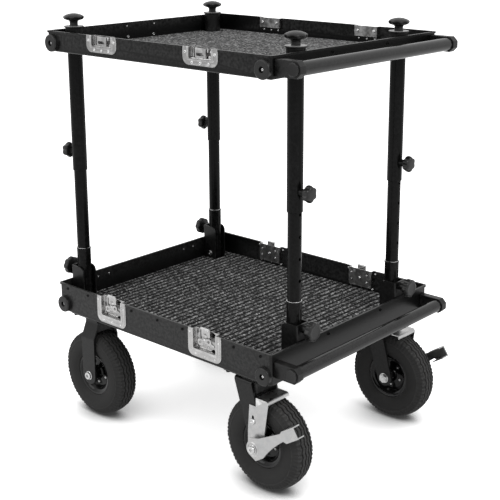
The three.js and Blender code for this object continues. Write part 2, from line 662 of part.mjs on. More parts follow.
// The plate over a swivel caster, with its raceway and the pin that holds the fork up
function swivelPlateForm() {
  const crownUnder = crownTop - fork.sheet - seat;
  const pinFoot = crownUnder - caster.pinHeadHeight;
  const raceFoot = crownTop + seat;
  const race = turned([
    [0, pinFoot], [caster.pinHead, pinFoot], [caster.pinHead, crownUnder], [caster.pin, crownUnder],
    [caster.pin, raceFoot], [caster.raceLow, raceFoot], [caster.raceTop, plateLow - seat * 4],
    [caster.raceTop, plateLow + bite], [0, plateLow + bite]]);
  return join(plateForm(plateLow), race);
}

// The brake shoe about its axle: a slotted side plate, and a plate that crosses over the tread and rolls down
// in front of it
function brakeShoeForm(side) {
  const under = treadReach + seat + brake.travel;
  const top = under + brake.plate;
  const front = brake.shoeFront;
  const lip = Math.sqrt((treadReach + seat) ** 2 - (front - brake.plate) ** 2) + brake.travel;
  const plate = outline([
    [-brake.footHalf, brake.low], [brake.footHalf, brake.low], [brake.waist, brake.waistLow],
    [brake.kneeX, brake.kneeZ], [front, lip], [front - brake.roll, top - bite], [brake.shoeBack, top - bite],
    [brake.shoeBack, brake.shoulder], [brake.shoulderX, brake.shoulder], [-brake.waist, brake.waistHigh],
    [-brake.waist, brake.waistLow]]);
  const inner = side * shoeInner;
  const outer = side * (shoeInner + brake.plate);
  const roof = new THREE.Shape();
  roof.moveTo(brake.shoeBack, under);
  roof.lineTo(front - brake.roll, under);
  roof.absarc(front - brake.roll, top - brake.roll, brake.roll - brake.plate, Math.PI / 2, 0, true);
  roof.lineTo(front - brake.plate, lip);
  roof.lineTo(front, lip);
  roof.lineTo(front, top - brake.roll);
  roof.absarc(front - brake.roll, top - brake.roll, brake.roll, 0, Math.PI / 2);
  roof.lineTo(brake.shoeBack, top);
  const sliding = axle.radius + seat;
  const through = [side * (shoeInner - overrun), side * (shoeInner + brake.plate + overrun)];
  const axleSlot = join(
    block([-sliding, sliding], through, [brake.low - overrun, brake.travel + seat]),
    rod(sliding, 'y', ...through).translate(0, 0, brake.travel + seat));
  const guide = brake.guideRadius + seat;
  const guideSlot = join(
    block([-guide, guide], through, [0, brake.slotRise]),
    rod(guide, 'y', ...through), rod(guide, 'y', ...through).translate(0, 0, brake.slotRise));
  return cut(
    join(extrude(plate, 'y', inner, outer), extrude(roof, 'y', -side * brake.shoeReach, outer)),
    axleSlot, guideSlot.translate(brake.guideX, 0, brake.guideZ));
}

// The brake lever about its axle: a hub with two lobes, a tapering arm and a channel for the foot.
// The cheek behind the hub runs between two shares of a half turn.
const cheekShares = [1.2, 0.7];
function leverForm(side) {
  const neckX = lever.reach - lever.pedal - lever.pedalHalf / 2;
  const plate = new THREE.Shape();
  plate.moveTo(lever.lobeX, lever.lobe);
  plate.lineTo(lever.shoulderX, lever.shoulderHigh);
  plate.lineTo(neckX, lever.neckHigh);
  plate.lineTo(lever.reach - lever.pedal, lever.pedalHalf);
  plate.lineTo(lever.reach, lever.pedalHalf);
  plate.lineTo(lever.reach, -lever.pedalHalf);
  plate.lineTo(lever.reach - lever.pedal, -lever.pedalHalf);
  plate.lineTo(neckX, -lever.neckLow);
  plate.quadraticCurveTo(lever.heelX, -lever.heelLow, lever.lobeX + lever.lobe / 2, -lever.lobe);
  plate.lineTo(-lever.lobeX, -lever.lobe);
  plate.absarc(0, 0, lever.cheek, ...cheekShares.map((share) => Math.PI * share), true);
  const inner = side * leverInner;
  const outer = side * leverOuter;
  const body = extrude(plate, 'y', inner, outer, sides.corner * 2);
  const flange = (v) => block([lever.reach - lever.pedal, lever.reach], [outer, outer - side * lever.flange],
    [v, v - Math.sign(v) * lever.flangeSheet]);
  const tab = block([-lever.lobeX, lever.tab - lever.lobeX], [outer, outer - side * lever.tabReach],
    [-lever.lobe, -lever.lobe + lever.flangeSheet]);
  const hub = rod(lever.hub, 'y', side * (shoeInner + brake.plate + brake.play), outer, sides.boss);
  const whole = join(body, flange(lever.pedalHalf), flange(-lever.pedalHalf), tab, hub);
  const bored = cut(whole, axleBore(side * (shoeInner - overrun), side * (leverOuter + overrun)));
  return bored.rotateY(-THREE.MathUtils.degToRad(lever.angle));
}

// Four casters: two rigid at the left end, and two swivelling ones with brakes at the handle end
const rigidX = caster.rigidInset - tray.length / 2;
const swivelX = tray.length / 2 - caster.swivelInset;
for (const [name, side] of [['front', -1], ['rear', 1]]) {
  const y = side * casterY;
  const rigid = [rigidX, y, axleHeight];
  const swivel = [swivelX + caster.trail, y, axleHeight];
  place(carriage, `rigid_fork_${name}`, rigidForkForm(), finish.powder, rigid);
  place(carriage, `axle_${name}_left`, axleForm(side, forkOuter), finish.zinc, rigid);
  place(carriage, `rim_${name}_left`, rimForm(), finish.gloss, rigid);
  place(carriage, `tyre_${name}_left`, tyreForm(), finish.rubber, rigid);
  place(carriage, `swivel_plate_${name}`, swivelPlateForm(), finish.powder, [swivelX, y, 0]);
  place(carriage, `swivel_fork_${name}`, swivelForkForm(side), finish.powder, swivel);
  place(carriage, `axle_${name}_right`, axleForm(side, leverOuter), finish.zinc, swivel);
  place(carriage, `rim_${name}_right`, rimForm(), finish.gloss, swivel);
  place(carriage, `tyre_${name}_right`, tyreForm(), finish.rubber, swivel);
  place(carriage, `brake_shoe_${name}`, brakeShoeForm(side), finish.zinc, swivel);
  place(carriage, `brake_lever_${name}`, leverForm(side), finish.zinc, swivel);
}

// The origin is on the ground, in the middle of the whole cart
const reach = new THREE.Box3().setFromObject(cart);
cart.position.set(-(reach.min.x + reach.max.x) / 2, -(reach.min.y + reach.max.y) / 2, -reach.min.z);

export default cart;
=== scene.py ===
"""A camera cart: two carpeted trays on telescoping posts, latches, push handles and pneumatic wheels."""
import json
import math
import bmesh
import bpy
from mathutils import Matrix, Vector, noise

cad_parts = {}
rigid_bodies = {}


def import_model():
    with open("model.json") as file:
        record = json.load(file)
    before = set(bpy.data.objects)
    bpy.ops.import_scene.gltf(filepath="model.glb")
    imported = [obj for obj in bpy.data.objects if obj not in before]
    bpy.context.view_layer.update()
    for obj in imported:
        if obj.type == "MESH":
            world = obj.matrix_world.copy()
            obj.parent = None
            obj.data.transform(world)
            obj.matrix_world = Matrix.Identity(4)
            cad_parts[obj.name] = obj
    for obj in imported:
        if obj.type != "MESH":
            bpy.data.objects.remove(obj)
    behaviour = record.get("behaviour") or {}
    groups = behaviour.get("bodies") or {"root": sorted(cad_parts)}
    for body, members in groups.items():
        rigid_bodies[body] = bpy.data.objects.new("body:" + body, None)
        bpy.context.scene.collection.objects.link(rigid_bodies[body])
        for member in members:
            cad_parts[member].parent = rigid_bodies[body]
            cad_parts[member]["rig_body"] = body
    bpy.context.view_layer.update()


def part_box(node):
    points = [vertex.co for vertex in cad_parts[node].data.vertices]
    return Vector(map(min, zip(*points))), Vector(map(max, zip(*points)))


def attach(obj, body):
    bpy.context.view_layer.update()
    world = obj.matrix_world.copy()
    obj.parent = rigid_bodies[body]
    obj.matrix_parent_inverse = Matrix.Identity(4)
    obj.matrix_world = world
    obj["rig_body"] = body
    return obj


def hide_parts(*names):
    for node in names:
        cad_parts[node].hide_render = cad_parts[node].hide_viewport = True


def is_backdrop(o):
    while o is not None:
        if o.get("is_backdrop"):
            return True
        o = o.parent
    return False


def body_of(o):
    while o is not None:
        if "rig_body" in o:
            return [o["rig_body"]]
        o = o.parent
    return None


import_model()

# Forms are modelled in millimetres, and their finished copies are scaled to metres
MM = 0.001
# The gap that seated pieces keep
SEAT = 0.3


def node_box(node):
    low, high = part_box(node)
    return Vector(low) / MM, Vector(high) / MM


def middle_of(node):
    low, high = node_box(node)
    return (low + high) / 2


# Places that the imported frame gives
MIDDLE = middle_of("lower_tray").x
BASE = {level: node_box(f"{level}_tray")[0].z for level in ("lower", "upper")}
BODY = {"lower": "lower_body", "upper": "shelf"}
CORNERS = ["front_left", "rear_left", "front_right", "rear_right"]
POSTS = {corner: middle_of(f"lower_post_{corner}") for corner in CORNERS}
ENDS = {"front": -1, "rear": 1}

# Camera and light
VIEW = {"place": (1.8379, -2.02006, 1.3412), "azimuth": 41.21, "elevation": 14.54, "lens": 77.745,
        "sensor": 36, "shift_x": -0.036, "shift_y": -0.12, "far": 200}


def unit(azimuth, elevation):
    turn, rise = math.radians(azimuth), math.radians(elevation)
    return Vector((math.sin(turn) * math.cos(rise), -math.cos(turn) * math.cos(rise), math.sin(rise)))


def make_camera():
    data = bpy.data.cameras.new("camera")
    data.lens = VIEW["lens"]
    data.sensor_width = VIEW["sensor"]
    data.shift_x = VIEW["shift_x"]
    data.shift_y = VIEW["shift_y"]
    data.clip_end = VIEW["far"]
    camera = bpy.data.objects.new("camera", data)
    bpy.context.collection.objects.link(camera)
    back = unit(VIEW["azimuth"], VIEW["elevation"])
    camera.location = VIEW["place"]
    camera.rotation_euler = back.to_track_quat("Z", "Y").to_euler()
    bpy.context.scene.camera = camera


def area_light(name, place, target, size, power):
    data = bpy.data.lights.new(name, "AREA")
    data.shape = "DISK"
    data.size = size
    data.energy = power
    light = bpy.data.objects.new(name, data)
    bpy.context.collection.objects.link(light)
    light.location = place
    light.rotation_euler = (Vector(place) - Vector(target)).to_track_quat("Z", "Y").to_euler()


# Nodes
class Recipe:
    """Adds nodes to a tree and joins their sockets."""

    def __init__(self, tree):
        self.tree = tree

    def put(self, socket, value):
        if isinstance(value, bpy.types.NodeSocket):
            self.tree.links.new(value, socket)
        else:
            socket.default_value = value

    def add(self, kind, values=None, **settings):
        node = self.tree.nodes.new("ShaderNode" + kind)
        for key, value in settings.items():
            setattr(node, key, value)
        for key, value in (values or {}).items():
            self.put(node.inputs[key], value)
        return node

    def mix(self, factor, first, second):
        node = self.add("Mix", data_type="RGBA")
        for index, value in ((0, factor), (6, first), (7, second)):
            self.put(node.inputs[index], value)
        return node.outputs[2]

    def math(self, operation, first, second=0.0):
        return self.add("Math", {0: first, 1: second}, operation=operation).outputs[0]

    def times(self, first, second):
        return self.math("MULTIPLY", first, second)

    def span(self, value, from_low, from_high, low=0.0, high=1.0, smooth=False):
        kind = "SMOOTHSTEP" if smooth else "LINEAR"
        return self.add("MapRange", {"Value": value, "From Min": from_low, "From Max": from_high,
                                     "To Min": low, "To Max": high}, interpolation_type=kind).outputs[0]

    def place(self):
        return self.add("TexCoord").outputs["Object"]

    def cloud(self, place, scale, detail, roughness=0.5):
        values = {"Vector": place, "Scale": scale, "Detail": detail, "Roughness": roughness}
        return self.add("TexNoise", values).outputs[0]

    def group(self, tree, values):
        node = self.tree.nodes.new("ShaderNodeGroup")
        node.node_tree = tree
        for key, value in values.items():
            self.put(node.inputs[key], value)
        return node.outputs


def effect(name, inputs, outputs):
    """A node group with number inputs: its tree, its recipe and the sockets at its two ends."""
    tree = bpy.data.node_groups.new(name, "ShaderNodeTree")
    for label, default in inputs.items():
        socket = tree.interface.new_socket(name=label, in_out="INPUT", socket_type="NodeSocketFloat")
        socket.default_value = default
    for label, kind in outputs.items():
        tree.interface.new_socket(name=label, in_out="OUTPUT", socket_type="NodeSocket" + kind)
    start_node = tree.nodes.new("NodeGroupInput")
    end_node = tree.nodes.new("NodeGroupOutput")
    return tree, Recipe(tree), start_node.outputs, end_node.inputs


def surface_grain():
    """Fine relief of a coated or moulded surface."""
    tree, make, given, out = effect("Surface grain", {"Scale": 900, "Strength": 0.2, "Depth": 0.0004},
                                    {"Value": "Float", "Normal": "Vector"})
    grain = make.cloud(make.place(), given["Scale"], 4.0, 0.6)
    bump = make.add("Bump", {"Height": grain, "Strength": given["Strength"], "Distance": given["Depth"]})
    make.put(out["Value"], grain)
    make.put(out["Normal"], bump.outputs[0])
    return tree


def edge_wear():
    """Where a finish is rubbed thin: the convex edges, broken up by noise."""
    tree, make, given, out = effect("Edge wear", {"Amount": 0.5, "Breakup": 120}, {"Mask": "Float"})
    edge = make.span(make.add("NewGeometry").outputs["Pointiness"], 0.51, 0.6, smooth=True)
    broken = make.span(make.cloud(make.place(), given["Breakup"], 3.0), 0.35, 0.65)
    make.put(out["Mask"], make.times(make.times(edge, broken), given["Amount"]))
    return tree


def settled_dust():
    """A thin uneven film on what faces up."""
    tree, make, given, out = effect("Settled dust", {"Amount": 0.3, "Scale": 20}, {"Mask": "Float"})
    facing = make.add("SeparateXYZ", {0: make.add("NewGeometry").outputs["Normal"]}).outputs[2]
    level = make.span(facing, 0.3, 1.0, smooth=True)
    patches = make.span(make.cloud(make.place(), given["Scale"], 6.0, 0.7), 0.35, 0.7)
    make.put(out["Mask"], make.times(make.times(level, patches), given["Amount"]))
    return tree


def rub_marks():
    """Faint long marks where gear and hands have rubbed."""
    tree, make, given, out = effect("Rub marks", {"Amount": 0.3, "Scale": 60}, {"Mask": "Float"})
    stretch = {"Vector": make.place(), "Rotation": (0.3, 0.5, 0.8), "Scale": (1.0, 14.0, 6.0)}
    streak = make.cloud(make.add("Mapping", stretch).outputs[0], given["Scale"], 5.0, 0.75)
    make.put(out["Mask"], make.times(make.span(streak, 0.62, 0.72), given["Amount"]))
    return tree


GRAIN, WEAR, DUST, RUBS = surface_grain(), edge_wear(), settled_dust(), rub_marks()


def new_material(name, **sockets):
    material = bpy.data.materials.new(name)
    material.use_nodes = True
    shader = material.node_tree.nodes["Principled BSDF"]
    for key, value in sockets.items():
        shader.inputs[key.replace("_", " ")].default_value = value
    return material, Recipe(material.node_tree), shader.inputs


def grey(value, warmth=0.0):
    return (value * (1 + warmth), value, value * (1 - warmth), 1.0)


def scaled(colour, share):
    return [channel * share for channel in colour[:3]] + [1]


def grain_of(scale, strength, depth):
    return {"Scale": scale, "Strength": strength, "Depth": depth}


def coated_metal(name, colour, worn, roughness, specular, grain, wear=0.5, dust=0.04, streaks=0.08):
    """Painted or powder-coated metal, or moulded plastic."""
    material, make, sockets = new_material(name, Specular_IOR_Level=specular)
    relief = make.group(GRAIN, grain)
    edges = make.group(WEAR, {"Amount": wear, "Breakup": 140.0})["Mask"]
    film = make.group(DUST, {"Amount": dust, "Scale": 18.0})["Mask"]
    marks = make.group(RUBS, {"Amount": streaks, "Scale": 24.0})["Mask"]
    mottled = make.mix(relief["Value"], scaled(colour, 0.96), scaled(colour, 1.04))
    rubbed = make.mix(marks, mottled, scaled(colour, 1.9))
    make.put(sockets["Base Color"], make.mix(film, make.mix(edges, rubbed, worn), grey(0.18, 0.04)))
    uneven = make.span(relief["Value"], 0.3, 0.7, roughness - 0.02, roughness + 0.02)
    make.put(sockets["Roughness"], make.math("ADD", uneven, make.times(film, 0.25)))
    make.put(sockets["Normal"], relief["Normal"])
    return material


def plated_metal(name, colour, tint, roughness, grain, streak=0.35):
    """Zinc or nickel plate: metal with brushed streaks, stained patches and bright rubbed edges."""
    material, make, sockets = new_material(name, Metallic=1.0)
    relief = make.group(GRAIN, grain)
    patches = make.cloud(make.place(), 55.0, 5.0, 0.65)
    marks = make.group(RUBS, {"Amount": streak, "Scale": 70.0})["Mask"]
    edges = make.group(WEAR, {"Amount": 0.8, "Breakup": 90.0})["Mask"]
    stained = make.mix(make.span(patches, 0.35, 0.7), colour, tint)
    make.put(sockets["Base Color"], make.mix(edges, make.mix(marks, stained, grey(0.45)), grey(0.85)))
    uneven = make.span(patches, 0.3, 0.7, roughness - 0.06, roughness + 0.1)
    make.put(sockets["Roughness"], make.math("ADD", uneven, make.times(marks, 0.2)))
    make.put(sockets["Normal"], relief["Normal"])
    return material


def carpet(name, dark, pale, loop_scale, rarity, depth, pitch=0.0):
    """Speckled loop pile: dark loops with pale ones among them, with painted shade between the loops and in
    the grooves between ribs along Y.
    """
    sheen = {"Sheen_Weight": 0.08, "Sheen_Roughness": 0.6}
    material, make, sockets = new_material(name, Specular_IOR_Level=0.1, **sheen)
    place = make.place()
    tangle = make.add("TexNoise", {"Vector": place, "Scale": loop_scale * 1.6, "Detail": 3.0})
    reach = {0: tangle.outputs["Color"], 1: (0.004, 0.004, 0.0)}
    drift = make.add("VectorMath", reach, operation="MULTIPLY").outputs[0]
    strayed = make.add("VectorMath", {0: place, 1: drift}, operation="ADD").outputs[0]
    loops = make.add("TexVoronoi", {"Vector": strayed, "Scale": loop_scale, "Randomness": 1.0})
    fibres = make.cloud(place, 900.0, 2.0, 0.7)
    tone = make.add("SeparateColor", {0: loops.outputs["Color"]}).outputs[0]
    yarn = make.mix(make.math("POWER", tone, rarity), dark, pale)
    # Each loop's crown: its height for the bump, and painted shade that darkens it towards the loop's edge
    crown = make.span(loops.outputs["Distance"], 0.15, 0.8, 1.0, 0.3)
    shade = make.times(crown, make.span(fibres, 0.25, 0.75, 0.6, 1.25))
    if pitch:
        # Painted shade in the grooves between ribs
        waver = make.times(make.cloud(place, 90.0, 2.0), 0.004)
        across = make.math("ADD", make.add("SeparateXYZ", {0: place}).outputs[0], waver)
        turn = make.times(make.math("SUBTRACT", across, MIDDLE * MM + 0.002), math.pi / pitch)
        groove = make.span(make.math("ABSOLUTE", make.math("SINE", turn)), 0.38, 0.9, 0.0, 1.4)
        shade = make.times(shade, groove)
    shaded = make.add("Mix", {0: 1.0, 6: yarn}, data_type="RGBA", blend_type="MULTIPLY")
    make.put(shaded.inputs[7], make.add("CombineColor", {0: shade, 1: shade, 2: shade}).outputs[0])
    make.put(sockets["Base Color"], shaded.outputs[2])
    make.put(sockets["Roughness"], make.span(fibres, 0.3, 0.7, 0.85, 1.0))
    height = make.math("ADD", crown, make.times(fibres, 0.4))
    bump = make.add("Bump", {"Height": height, "Strength": 0.8, "Distance": depth})
    make.put(sockets["Normal"], bump.outputs[0])
    return material


def rubber(name, colour):
    """Matt tyre rubber with a grey bloom, dust on what faces up and a fine moulded grain."""
    material, make, sockets = new_material(name, Specular_IOR_Level=0.15)
    relief = make.group(GRAIN, grain_of(700.0, 0.35, 0.0005))
    bloom = make.cloud(make.place(), 14.0, 6.0, 0.7)
    scuffs = make.group(RUBS, {"Amount": 0.35, "Scale": 40.0})["Mask"]
    film = make.group(DUST, {"Amount": 0.1, "Scale": 30.0})["Mask"]
    tone = make.mix(make.span(bloom, 0.35, 0.7), colour, scaled(colour, 1.35))
    edges = make.group(WEAR, {"Amount": 0.8, "Breakup": 260.0})["Mask"]
    rubbed = make.mix(edges, make.mix(scuffs, tone, grey(0.06)), grey(0.13))
    make.put(sockets["Base Color"], make.mix(film, rubbed, grey(0.2, 0.06)))
    make.put(sockets["Roughness"], make.span(bloom, 0.3, 0.7, 0.62, 0.8))
    make.put(sockets["Normal"], relief["Normal"])
    return material


def plain_dark(name, value, roughness):
    """Painted shade: the black inside of an opening or socket."""
    material, make, sockets = new_material(name, Specular_IOR_Level=0.1)
    relief = make.group(GRAIN, grain_of(300.0, 0.2, 0.0003))
    make.put(sockets["Base Color"], make.mix(relief["Value"], grey(value * 0.6), grey(value * 1.4)))
    make.put(sockets["Roughness"], make.span(relief["Value"], 0.3, 0.7, roughness - 0.1, roughness + 0.1))
    return material


# Grains: scale, strength and depth in metres
FINE = grain_of(1300.0, 0.08, 0.0002)
SATIN = grain_of(500.0, 0.12, 0.0002)
PEBBLED = grain_of(800.0, 0.35, 0.0004)
BRUSHED = grain_of(420.0, 0.12, 0.0003)
STAMPED = grain_of(250.0, 0.18, 0.0004)
TURNED = grain_of(600.0, 0.1, 0.0002)
# Finishes: colour, worn or stained colour, roughness, specular level and grain
POWDER = coated_metal("Black powder coat", grey(0.003), grey(0.05), 0.34, 0.28, FINE)
SHELF_POWDER = coated_metal("Fine black powder coat", grey(0.003), grey(0.05), 0.32, 0.18, FINE)
TUBE = coated_metal("Satin black tube", grey(0.003), grey(0.05), 0.2, 0.1, SATIN, wear=0.35)
# A lighter black for bevels and flange tops that face up: a painted highlight
EDGE = coated_metal("Black edge with painted highlight", grey(0.16), grey(0.3), 0.3, 0.6, SATIN)
BAR = coated_metal("Gloss black push bar", grey(0.008), grey(0.06), 0.12, 0.33, SATIN, wear=0.3)
MOULDED = coated_metal("Moulded black plastic", grey(0.01), grey(0.04), 0.32, 0.34, PEBBLED,
                       wear=0.3, streaks=0.05)
GLOSS = coated_metal("Gloss black rim", grey(0.004), grey(0.2), 0.12, 0.25, SATIN, wear=0.5)
ZINC = plated_metal("Zinc plate", grey(0.48, 0.01), grey(0.44, -0.01), 0.3, BRUSHED)
NICKEL = plated_metal("Nickel plate", grey(0.47, 0.012), grey(0.38, 0.0), 0.26, STAMPED)
# A darker copy of the nickel plate: painted shade on backs, slots and recesses, and a dull tone on the rim
# bolts
SHADED = plated_metal("Dull nickel, also painted shade", grey(0.24, 0.01), grey(0.16, 0.0), 0.32, STAMPED)
PAN = plated_metal("Keeper nickel plate", grey(0.34, 0.01), grey(0.26, 0.0), 0.3, STAMPED)
STEEL = plated_metal("Bright bolt steel", grey(0.68), grey(0.5), 0.22, TURNED)
RUBBER = rubber("Tyre rubber", grey(0.031, 0.01))
RIBBED = carpet("Ribbed carpet", grey(0.002), grey(0.62), loop_scale=235.0, rarity=2.5, depth=0.0012,
                pitch=0.018)
LOOPED = carpet("Looped carpet", grey(0.005), grey(0.6), loop_scale=205.0, rarity=2.3, depth=0.001)
HOLLOW_SHADE = plain_dark("Painted shade in hollows", value=0.004, roughness=0.7)


# Modelling by hand: primitives, edit-mode tools and applied modifiers
def start(kind, **settings):
    bpy.ops.object.select_all(action="DESELECT")
    getattr(bpy.ops.mesh, f"primitive_{kind}_add")(**settings)
    return bpy.context.object


def only(piece):
    bpy.ops.object.select_all(action="DESELECT")
    piece.select_set(True)
    bpy.context.view_layer.objects.active = piece


def settle(piece):
    only(piece)
    bpy.ops.object.transform_apply(location=True, rotation=True, scale=True)
    return piece


def editing(piece):
    only(piece)
    bpy.ops.object.mode_set(mode="EDIT")
    bpy.ops.mesh.select_all(action="SELECT")


def done(piece, doubles=0.0):
    bpy.ops.mesh.select_all(action="SELECT")
    if doubles > 0:
        bpy.ops.mesh.remove_doubles(threshold=doubles)
    bpy.ops.mesh.normals_make_consistent(inside=False)
    bpy.ops.object.mode_set(mode="OBJECT")
    return piece


def pick_edges(piece, test):
    """Selects the edges that pass a test, in edit mode."""
    bpy.ops.mesh.select_mode(type="EDGE")
    bpy.ops.mesh.select_all(action="DESELECT")
    for edge in bmesh.from_edit_mesh(piece.data).edges:
        if test(edge):
            edge.select_set(True)
    bmesh.update_edit_mesh(piece.data)


def extrude(step):
    bpy.ops.mesh.extrude_region_move(TRANSFORM_OT_translate={"value": step})


def turned(profile, sides=48, closed=False):
    """Rings of (radius, height) drawn out of a circle; closed joins the last ring to the first."""
    (radius, height), *rest = profile
    piece = start("circle", vertices=sides, radius=radius, location=(0, 0, height),
                  fill_type="NOTHING" if closed else "NGON")
    settle(piece)
    editing(piece)
    for wide, high in rest + ([profile[0]] if closed else []):
        extrude((0, 0, high - height))
        bpy.ops.transform.resize(value=(wide / radius, wide / radius, 1), center_override=(0, 0, high))
        radius, height = wide, high
    return done(piece, 0.001 if closed else 0.0)


AXES = {"x": Vector((1, 0, 0)), "y": Vector((0, 1, 0)), "z": Vector((0, 0, 1))}
QUARTER = math.pi / 2
# How a form that points up is turned to point each way
WAYS = {"x": Matrix.Rotation(QUARTER, 4, "Y"), "-x": Matrix.Rotation(-QUARTER, 4, "Y"),
        "y": Matrix.Rotation(-QUARTER, 4, "X"), "-y": Matrix.Rotation(QUARTER, 4, "X"),
        "z": Matrix(), "-z": Matrix.Rotation(math.pi, 4, "X")}


def along(piece, way):
    piece.data.transform(WAYS[way])
    return piece


def moved(piece, *step):
    piece.data.transform(Matrix.Translation(step))
    return piece


def swung(piece, angle, axis):
    piece.data.transform(Matrix.Rotation(angle, 4, axis))
    return piece


def flipped(piece, side):
    """Mirrors a form that points up when it belongs to the side that points down."""
    piece.data.transform(Matrix.Scale(side, 4, (0, 0, 1)))
    if side < 0:
        piece.data.flip_normals()
    return piece


def rod(radius, axis, low, high, at=(0, 0, 0), sides=32):
    bottom, top = min(low, high), max(low, high)
    piece = start("cylinder", vertices=sides, radius=radius, depth=top - bottom,
                  location=(0, 0, (bottom + top) / 2))
    return moved(along(settle(piece), axis), *at)


def block(xs, ys, zs):
    spans = [(min(s), max(s)) for s in (xs, ys, zs)]
    piece = start("cube", size=1, location=[(a + b) / 2 for a, b in spans], scale=[b - a for a, b in spans])
    return settle(piece)


def outlined(outline, axis, height):
    """A flat face with the outline in the two other axes."""
    piece = start("circle", vertices=len(outline), radius=1, fill_type="NGON")
    for vertex, (a, b) in zip(piece.data.vertices, outline):
        vertex.co = {"x": (height, a, b), "y": (a, height, b), "z": (a, b, height)}[axis]
    return piece


def pushed(outline, axis, first, second):
    """An outline in the two other axes, pushed from the lower of two heights to the higher."""
    low, high = min(first, second), max(first, second)
    piece = outlined(outline, axis, low)
    editing(piece)
    extrude(AXES[axis] * (high - low))
    return done(piece)


def arc(x, y, radius, first, last, steps=6):
    angles = [math.radians(first + (last - first) * i / steps) for i in range(steps + 1)]
    return [(x + radius * math.cos(a), y + radius * math.sin(a)) for a in angles]


def rounded(x0, x1, y0, y1, low, high=None, steps=5):
    """A rectangle whose two lower corners have one radius and whose upper ones have another."""
    high = low if high is None else high
    points = arc(x1 - low, y0 + low, low, -90, 0, steps)
    points += arc(x1 - high, y1 - high, high, 0, 90, steps) if high else [(x1, y1)]
    points += arc(x0 + high, y1 - high, high, 90, 180, steps) if high else [(x0, y1)]
    return points + arc(x0 + low, y0 + low, low, 180, 270, steps)


def worked(piece, kind, **settings):
    """Adds a modifier and applies it."""
    only(piece)
    modifier = piece.modifiers.new(kind.title(), kind)
    for key, value in settings.items():
        setattr(modifier, key, value)
    bpy.ops.object.modifier_apply(modifier=modifier.name)
    return piece


def combined(piece, others, operation):
    for other in others:
        worked(piece, "BOOLEAN", operation=operation, object=other, solver="EXACT")
        bpy.data.objects.remove(other)
    return piece


def carve(piece, *cutters):
    return combined(piece, cutters, "DIFFERENCE")


def weld(piece, *others):
    return combined(piece, others, "UNION")


def meet(piece, *others):
    return combined(piece, others, "INTERSECT")


def smooth(piece, angle=38):
    only(piece)
    bpy.ops.object.shade_smooth_by_angle(angle=math.radians(angle))
    return piece


def soften(piece, width, segments=2, angle=32):
    worked(piece, "BEVEL", width=width, segments=segments, limit_method="ANGLE",
           angle_limit=math.radians(angle), use_clamp_overlap=True, miter_outer="MITER_ARC")
    return smooth(piece)


def paint(piece, *materials):
    piece.data.materials.clear()
    for material in materials:
        piece.data.materials.append(material)
    return piece


def shade_faces(piece, materials, *tests):
    """Gives each further material to the faces that pass its test."""
    paint(piece, *materials)
    for face in piece.data.polygons:
        for index, test in enumerate(tests, start=1):
            if test(face):
                face.material_index = index
    return piece


def gather(*pieces):
    """One object out of several, whose materials stay apart."""
    bpy.ops.object.select_all(action="DESELECT")
    for piece in pieces:
        piece.select_set(True)
    bpy.context.view_layer.objects.active = pieces[0]
    bpy.ops.object.join()
    return bpy.context.object


def duplicate(form):
    copy = form.copy()
    copy.data = form.data.copy()
    bpy.context.collection.objects.link(copy)
    return copy


MIRROR_Y = Matrix.Scale(-1, 4, (0, 1, 0))
HALF_TURN = Matrix.Rotation(math.pi, 4, "Z")


def stamp(form, name, body, at, turn=Matrix(), nodes=()):
    """A finished copy of a form, in metres, with its place in its mesh."""
    mesh = form.data.copy()
    mesh.transform(Matrix.Scale(MM, 4) @ Matrix.Translation(at) @ turn)
    if turn.determinant() < 0:
        mesh.flip_normals()
    mesh.name = name
    piece = bpy.data.objects.new(name, mesh)
    bpy.context.collection.objects.link(piece)
    worked(piece, "WEIGHTED_NORMAL", keep_sharp=True)
    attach(piece, body)
    if nodes:
        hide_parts(*nodes)
    return piece


def discard(*forms):
    for form in forms:
        bpy.data.objects.remove(form)


# Trays
TRAY = {"length": 760, "width": 636, "lip": 2.5, "lip_drop": 5, "sheet": 3, "fold": 3, "inner_fold": 1.5,
        "corner": 7, "lower": 77.5, "upper": 52}
WALL = (TRAY["length"] / 2 - TRAY["lip"], TRAY["width"] / 2 - TRAY["lip"])
LATCH = {"x": 168, "width": 110, "recess": 77, "dish": 69, "dish_recess": 50, "keeper": 41,
         "keeper_recess": 28, "depth": 11, "wall": 1.3, "corner": 18, "drop": 25, "plate": 1.5, "wing": 22.5,
         "tilt": 12}
BUMPER = {"x": 357, "radius": 22, "height": 10, "bore": 6.8, "sunk": 7, "lower": 21, "upper": 21.5}
COLLAR = {"rise": 9, "bore": 11.2, "cup": 22, "flange": 25, "inner": 19.4, "hole": 19.6, "knob_seat": 3.8}


def tub(half_x, half_y, low, high, corner, fold):
    """A box with round upright corners and a rounded fold round its foot."""
    piece = block((-half_x, half_x), (-half_y, half_y), (low, high))
    editing(piece)
    pick_edges(piece, lambda e: abs(e.verts[0].co.z - e.verts[1].co.z) > 1)
    bpy.ops.mesh.bevel(offset=corner, segments=5, affect="EDGES")
    pick_edges(piece, lambda e: max(v.co.z for v in e.verts) < low + 0.01)
    bpy.ops.mesh.bevel(offset=fold, segments=3, affect="EDGES")
    return done(piece)


